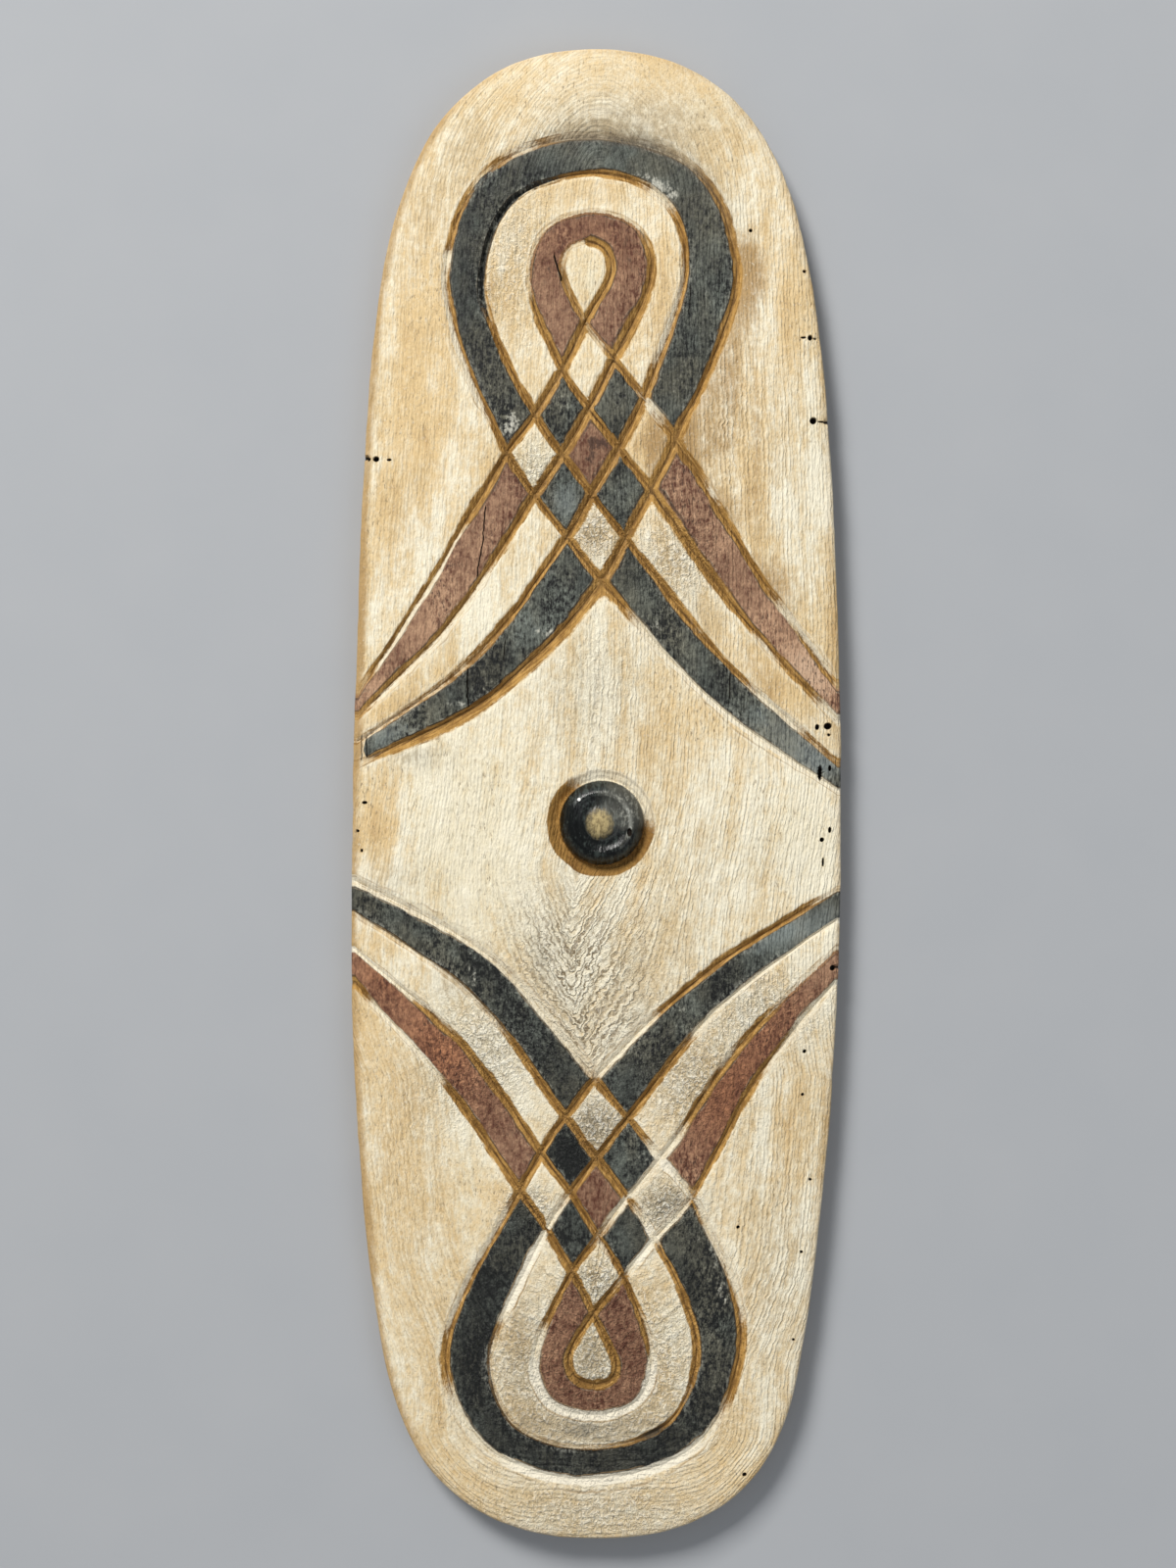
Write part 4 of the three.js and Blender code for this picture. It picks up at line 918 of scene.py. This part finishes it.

# black and red bands, worn along the grain; the most worn black also carries a painted sheen
black_wear_and_sheen, rworn, fleck_and_glint, spill = P.attr("black_wear_and_sheen"), P.attr("rworn"), P.attr("fleck_and_glint"), P.attr("spill")
rub = (patch * 1.3 + 0.42).clamp()
scuff = ((brush - 0.5) * 1.7 + (speck - 0.5) * 1.9 + (fibre - 0.5) * 0.6 + (pores - 0.5) * 1.3) * (0.62 + rub * 0.60)
even_coat = (0.42 + black_wear_and_sheen * 1.9).clamp() + P.attr("crisp") * 1.1
black_at, red_at = P.attr("black"), P.attr("red")
thick = (1.0 - (black_at + (speck - 0.5) * 2.0).step(0.6, 2.6)) * 0.16
black = P.mix((0.0068, 0.0080, 0.0070), P.mix((0.213, 0.207, 0.152), (0.184, 0.204, 0.172), (cloud * 1.2 + 0.5).clamp()), (black_wear_and_sheen + (scuff * 0.70 + (mottle - 0.5) * 0.55 + blot * 0.24) * even_coat - thick).clamp())
black = P.mix(black, (0.004, 0.005, 0.005), pores.step(0.54, 0.66) * (0.25 + rub * 0.65 + P.attr("crisp") * 0.3))
# blue-grey where the black is worn most: worn paint with a painted sheen
black = P.mix(black, (0.285, 0.335, 0.350), ((black_wear_and_sheen - 0.50) * 1.6 + scuff * 0.35).clamp() * 0.55)
scraped = (1.0 - black_at.step(1.6, 4.6)) * ((brush - 0.5) * 3.2 + (speck - 0.5) * 3.2 + patch * 1.0 + black_wear_and_sheen * 0.6 - 0.25).clamp()
black = P.mix(black, (0.36, 0.36, 0.305), scraped * 0.55)
scratch = (brush - 0.5) * 0.8 + (speck - 0.5) * 1.3 + (mottle - 0.5) * 1.6
# pale flecks where the black is scratched, partly painted glints
black = P.mix(black, (0.70, 0.685, 0.58), (fleck_and_glint + scratch).step(0.42, 1.05) * (fleck_and_glint * 1.8).clamp() * 0.85)
red = P.mix((0.105, 0.036, 0.019), P.mix((0.52, 0.315, 0.190), (0.50, 0.225, 0.110), P.attr("rich")), (rworn + scuff * 0.84 + (mottle - 0.5) * 0.80 + blot * 0.22 + 0.08).clamp())
red = P.mix(red, (0.66, 0.475, 0.325), (rworn - 0.75 + scuff * 0.4).clamp())
red = P.mix(red, (0.030, 0.012, 0.010), (P.attr("dirt") * 0.8 + scratch * 1.3).step(0.35, 0.85) * (P.attr("dirt") * 2.0).clamp() * 0.8)
red = P.mix(red, (0.045, 0.018, 0.012), pores.step(0.54, 0.66) * (0.30 + rub * 0.60))

ragged = (speck - 0.5) * 1.1 + (pores - 0.5) * 0.5
in_black = (black_at + ragged + spill * 1.6 - P.attr("bare") * 9.0).step(0.20, 0.70)
in_red = (red_at + ragged * (1.0 + P.attr("gone") * 1.6)).step(0.20, 0.70)
colour = P.mix(ground, red, in_red)
colour = P.mix(colour, black, in_black)
colour = P.mix(colour, (0.36, 0.235, 0.105), lip_line * (0.30 + (patch * 0.8).clamp() + chalk.step(0.85, 1.2) * 0.4))
fringe = cut.step(0.86, 1.0) * (1.0 - cut.step(1.04, 1.30)) * (carve + (speck - 0.5) * 0.5).step(0.50, 0.66) * in_black.high(in_red)
colour = P.mix(colour, (0.52, 0.46, 0.33), fringe * 0.55)

# the cuts: ochre brown wood, darker in the bottom, chalky in places
gone, painted_cut_shade = P.attr("gone"), P.attr("painted_cut_shade")
hollow = 1.0 - (cut.high(cutmm / P.attr("reach")) + (speck - 0.5) * 0.46 + (carve - 0.5) * 0.60).step(0.74, 1.06)
brown = P.mix((0.245, 0.124, 0.026), (0.505, 0.285, 0.076), (carve + blot * 0.14 + (speck - 0.5) * 0.3 + (cut - 0.5) * 0.10).step(0.34, 0.66))
brown = P.mix(brown, (0.62, 0.46, 0.235), (carve + (speck - 0.5) * 0.4).step(0.60, 0.80) * 0.45)
brown = P.mix(brown, (0.105, 0.052, 0.015), (1.0 - (cut + (carve - 0.5) * 0.7).step(0.02, 0.34)) * (0.38 + (blot * 0.8).clamp()))
chalked = (chalk + (speck - 0.5) * 0.5 + (carve - 0.5) * 0.9 + blot * 0.15).step(0.28, 0.72)
brown = P.mix(brown, P.mix(P.mix((0.84, 0.77, 0.59), (0.91, 0.85, 0.69), chalk.step(0.85, 1.2)), (0.60, 0.485, 0.300), carve.step(0.46, 0.72) * (1.0 - chalk.step(0.85, 1.2))), chalked * 0.92)
# painted shade: near black in the cuts marked d
brown = P.mix(brown, (0.040, 0.033, 0.022), (painted_cut_shade + (carve - 0.5) * 0.8).step(0.25, 0.85) * (1.0 - cut.step(0.6, 1.1)) * (1.0 - cutmm.step(1.3, 3.0)) * 0.92)
hollow = hollow * (1.0 - (gone + (carve - 0.5) * 0.7).step(0.30, 0.75) * 0.88)
spilled = (spill * 1.3 + (speck - 0.5) * 0.8).step(0.4, 0.8) * black_at.step(-1.9, -0.6)
colour = P.mix(colour, brown, hollow * (1.0 - spilled))
# a dark line on the painted side of a cut: partly paint gathered at the edge, partly painted shade on the cut's wall
outline = cut.step(0.66, 0.90) * (1.0 - cut.step(1.0, 1.16)) * in_black.high(in_red * 0.8) * (carve * 1.4 + blot * 0.35 + (mottle - 0.5) * 0.6).step(0.46, 0.80) * (1.0 - chalked * 0.4)
colour = P.mix(colour, (0.020, 0.014, 0.009), outline * 0.85)

colour = P.mix(colour, (0.120, 0.104, 0.078), (P.attr("shade") * (0.92 + grit * 0.5)).clamp())

# boss: glossy black, rubbed to the wood on its crown, with painted highlights on its ridge and a painted glint; bare
# ring round it
boss_in, well, bx, by = P.attr("boss"), P.attr("well"), P.attr("bossx"), P.attr("bossy")
boss_mask = (boss_in + ragged * 0.5).step(-0.2, 0.5)
radius = (bx * bx + by * by) ** 0.5
rubbed = 1.0 - (((bx + 0.9) * 0.185) ** 2.0 + ((by + 0.3) * 0.165) ** 2.0 + (speck - 0.5) * 0.9 + (brush - 0.5) * 0.7).step(0.10, 1.75)
tar = P.mix((0.0010, 0.0022, 0.0020), (0.045, 0.058, 0.052), (blot * 0.5 + 0.05 + ((brush - 0.5) + (speck - 0.5)) * 2.8).clamp())
turned_line = ((radius * 2.6 + (mottle - 0.5) * 5.0).sin() * 0.5 + 0.5).step(0.62, 1.0) * (1.0 - radius.step(5.0, 11.0)) * 0.35
tar = P.mix(tar, (0.10, 0.105, 0.088), turned_line)
grey = (1.0 - (((bx - 11.0) * 0.075) ** 2.0 + ((by - 8.5) * 0.080) ** 2.0 + (speck - 0.5) * 1.5 + (mottle - 0.5) * 1.2).step(0.20, 1.25)) * (0.30 + (scuff * 1.6).clamp())
# grey on the boss's ridge: partly worn paint, partly a painted highlight
ridge_wear_and_highlight = radius.step(11.8, 13.0) * (1.0 - radius.step(13.8, 15.2)) * (bx * 0.8 + by * 0.35 + (mottle - 0.5) * 22.0).step(0.0, 9.0) * (0.22 + (scuff * 2.4).clamp())
tar = P.mix(tar, (0.30, 0.30, 0.255), (grey * 0.75 + ridge_wear_and_highlight * 0.75).clamp())
# painted glint: a small white highlight dot on the upper left of the boss
tar = P.mix(tar, (0.86, 0.85, 0.81), 1.0 - (((bx + 10.4) * 1.35) ** 2.0 + ((by - 10.7) * 1.35) ** 2.0).step(0.4, 1.5))
# painted highlight: a pale streak on the right of the boss's ridge
painted_ridge_highlight = radius.step(11.8, 12.7) * (1.0 - radius.step(13.2, 14.4)) * (bx + (speck - 0.5) * 5.0).step(7.0, 11.0) * (by + (mottle - 0.5) * 8.0).step(-7.0, -2.0) * (1.0 - by.step(7.0, 11.0))
tar = P.mix(tar, (0.42, 0.43, 0.385), painted_ridge_highlight * (0.35 + (scuff * 1.5).clamp()))
tar = P.mix(tar, P.mix((0.50, 0.395, 0.190), (0.27, 0.205, 0.095), ((brush - 0.5) * 4.0 + (speck - 0.5) * 4.0 + 0.42).clamp()), rubbed * 0.95)
ring_mask = (well + (speck - 0.5) * 1.0).step(0.0, 0.7)
ring_wood = P.mix((0.36, 0.196, 0.048), (0.19, 0.092, 0.019), (blot * 0.6 + 0.35 + (speck - 0.5) * 2.4).clamp())
ring_chalk = (by * 0.055 + (speck - 0.5) * 0.5 + bx * 0.030 - 0.06).step(0.36, 0.80)
gouge = ((radius * 2.2 + (mottle - 0.5) * 6.0).sin() * 0.5 + 0.5).step(0.35, 0.95)
ring_wood = P.mix(ring_wood, P.mix(ground, P.mix((0.84, 0.765, 0.585), (0.36, 0.315, 0.235), gouge * 0.75), 0.55), ring_chalk)
colour = P.mix(colour, ring_wood, ring_mask)
colour = P.mix(colour, tar, boss_mask)

# holes, bare sides and back
colour = P.mix(colour, (0.012, 0.007, 0.004), dark.step(0.25, 0.8))
raw = P.mix((0.50, 0.345, 0.165), (0.33, 0.205, 0.085), (streak * 0.9 + (fibre - 0.5) * 2.2 + 0.42).clamp())
raw = P.mix(raw, (0.20, 0.12, 0.05), ridge.step(0.4, 1.0) * 0.45 + pores.step(0.58, 0.72) * 0.4)
raw = P.mix(raw, (0.62, 0.46, 0.25), (cloud * 1.2).clamp() * (0.5 - P.attr("back") * 0.3))
hollowed = P.attr("back")
raw = P.mix(raw, (0.185, 0.112, 0.048), hollowed * (0.16 + (P.attr("adze") + (speck - 0.5) * 0.5).step(0.15, 0.85) * 0.35))
raw = P.mix(raw, (0.60, 0.44, 0.235), hollowed * (1.0 - (P.attr("adze") + (fibre - 0.5) * 0.5).step(0.02, 0.22)) * 0.28)
side = (low + (speck - 0.5) * 4.0 + cloud * 1.5).step(1.6, 6.5)
colour = P.mix(colour, raw, side)
P.set("Base Color", colour)

gloss = 0.82 - in_black * 0.22 - in_red * 0.06
gloss = gloss - boss_mask * (1.0 - rubbed) * (0.50 - grey * 0.3) + (speck - 0.5) * 0.2
P.set("Roughness", gloss.clamp())

# fine relief: raised grain, brush marks and the tooth of the wash
height = (0.5 - fibre) * 1.35 + (0.5 - ridge) * 0.2 + (0.5 - pores) * 0.45 + (speck - 0.5) * 0.4 - rings * (vee * 0.45 + P.attr("crumple") * 0.22) + ((mottle - 0.5) * 1.9 + (speck - 0.5) * 2.0 + (fold * 40.0).clamp() * 0.9) * P.attr("crumple") - crease * 0.50
height = height * (1.0 - boss_mask * 0.75)
bump = P.tree.nodes.new("ShaderNodeBump")
bump.inputs["Strength"].default_value = 0.8
bump.inputs["Distance"].default_value = 0.0010
P.tree.links.new(height.socket, bump.inputs["Height"])
P.tree.links.new(bump.outputs[0], P.shader.inputs["Normal"])
P.shader.inputs["Specular IOR Level"].default_value = 0.35

mesh.materials.append(P.material)
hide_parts("shield_board")
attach(shield, "root")

# --------------------------------------------------------------------------
# floor, light and camera
# --------------------------------------------------------------------------
bpy.ops.mesh.primitive_plane_add(size=12, location=(0, 0, 0))
floor = bpy.context.object
floor.name = "floor"
F2 = Paint("pale_floor")
tone = F2.noise(F2.vec(F2.x * 0.02, F2.y * 0.02), 3.0, 0.5)
F2.set("Base Color", F2.mix((0.405, 0.425, 0.45), (0.435, 0.45, 0.47), tone))
F2.shader.inputs["Roughness"].default_value = 0.9
floor.data.materials.append(F2.material)

world = bpy.data.worlds.new("studio")
bpy.context.scene.world = world
world.use_nodes = True
world.node_tree.nodes["Background"].inputs[0].default_value = (0.93, 0.96, 1.0, 1.0)
world.node_tree.nodes["Background"].inputs[1].default_value = 0.28


def softbox(name, at, aim, size, power, tint):
    light = bpy.data.lights.new(name, "AREA")
    light.shape, light.size, light.size_y = "RECTANGLE", size[0], size[1]
    light.energy, light.color = power, tint
    obj = bpy.data.objects.new(name, light)
    obj.location = at
    obj.rotation_mode = "QUATERNION"
    obj.rotation_quaternion = (Vector(aim) - Vector(at)).to_track_quat("-Z", "Y")
    bpy.context.scene.collection.objects.link(obj)


softbox("key", (-1.75, 3.0, 2.66), (0.0, 0.0, 0.0), (1.4, 1.4), 218.0, (1.0, 0.975, 0.94))
softbox("fill", (1.4, -1.0, 2.2), (0.0, 0.0, 0.0), (1.6, 1.6), 10.0, (0.95, 0.97, 1.0))

camera = bpy.data.cameras.new("camera")
camera.lens, camera.sensor_width = 50.0, 36.0
camera_object = bpy.data.objects.new("camera", camera)
cx, cy = at_px(600, 800)
camera_object.location = (cx / 1000, cy / 1000, 1.0 + 0.0155)
bpy.context.scene.collection.objects.link(camera_object)
bpy.context.scene.camera = camera_object
camera.clip_start, camera.clip_end = 0.05, 50
bpy.context.scene.view_settings.view_transform = "Standard"

bpy.context.view_layer.update()
print("shield points", len(points), "triangles", len(tris))
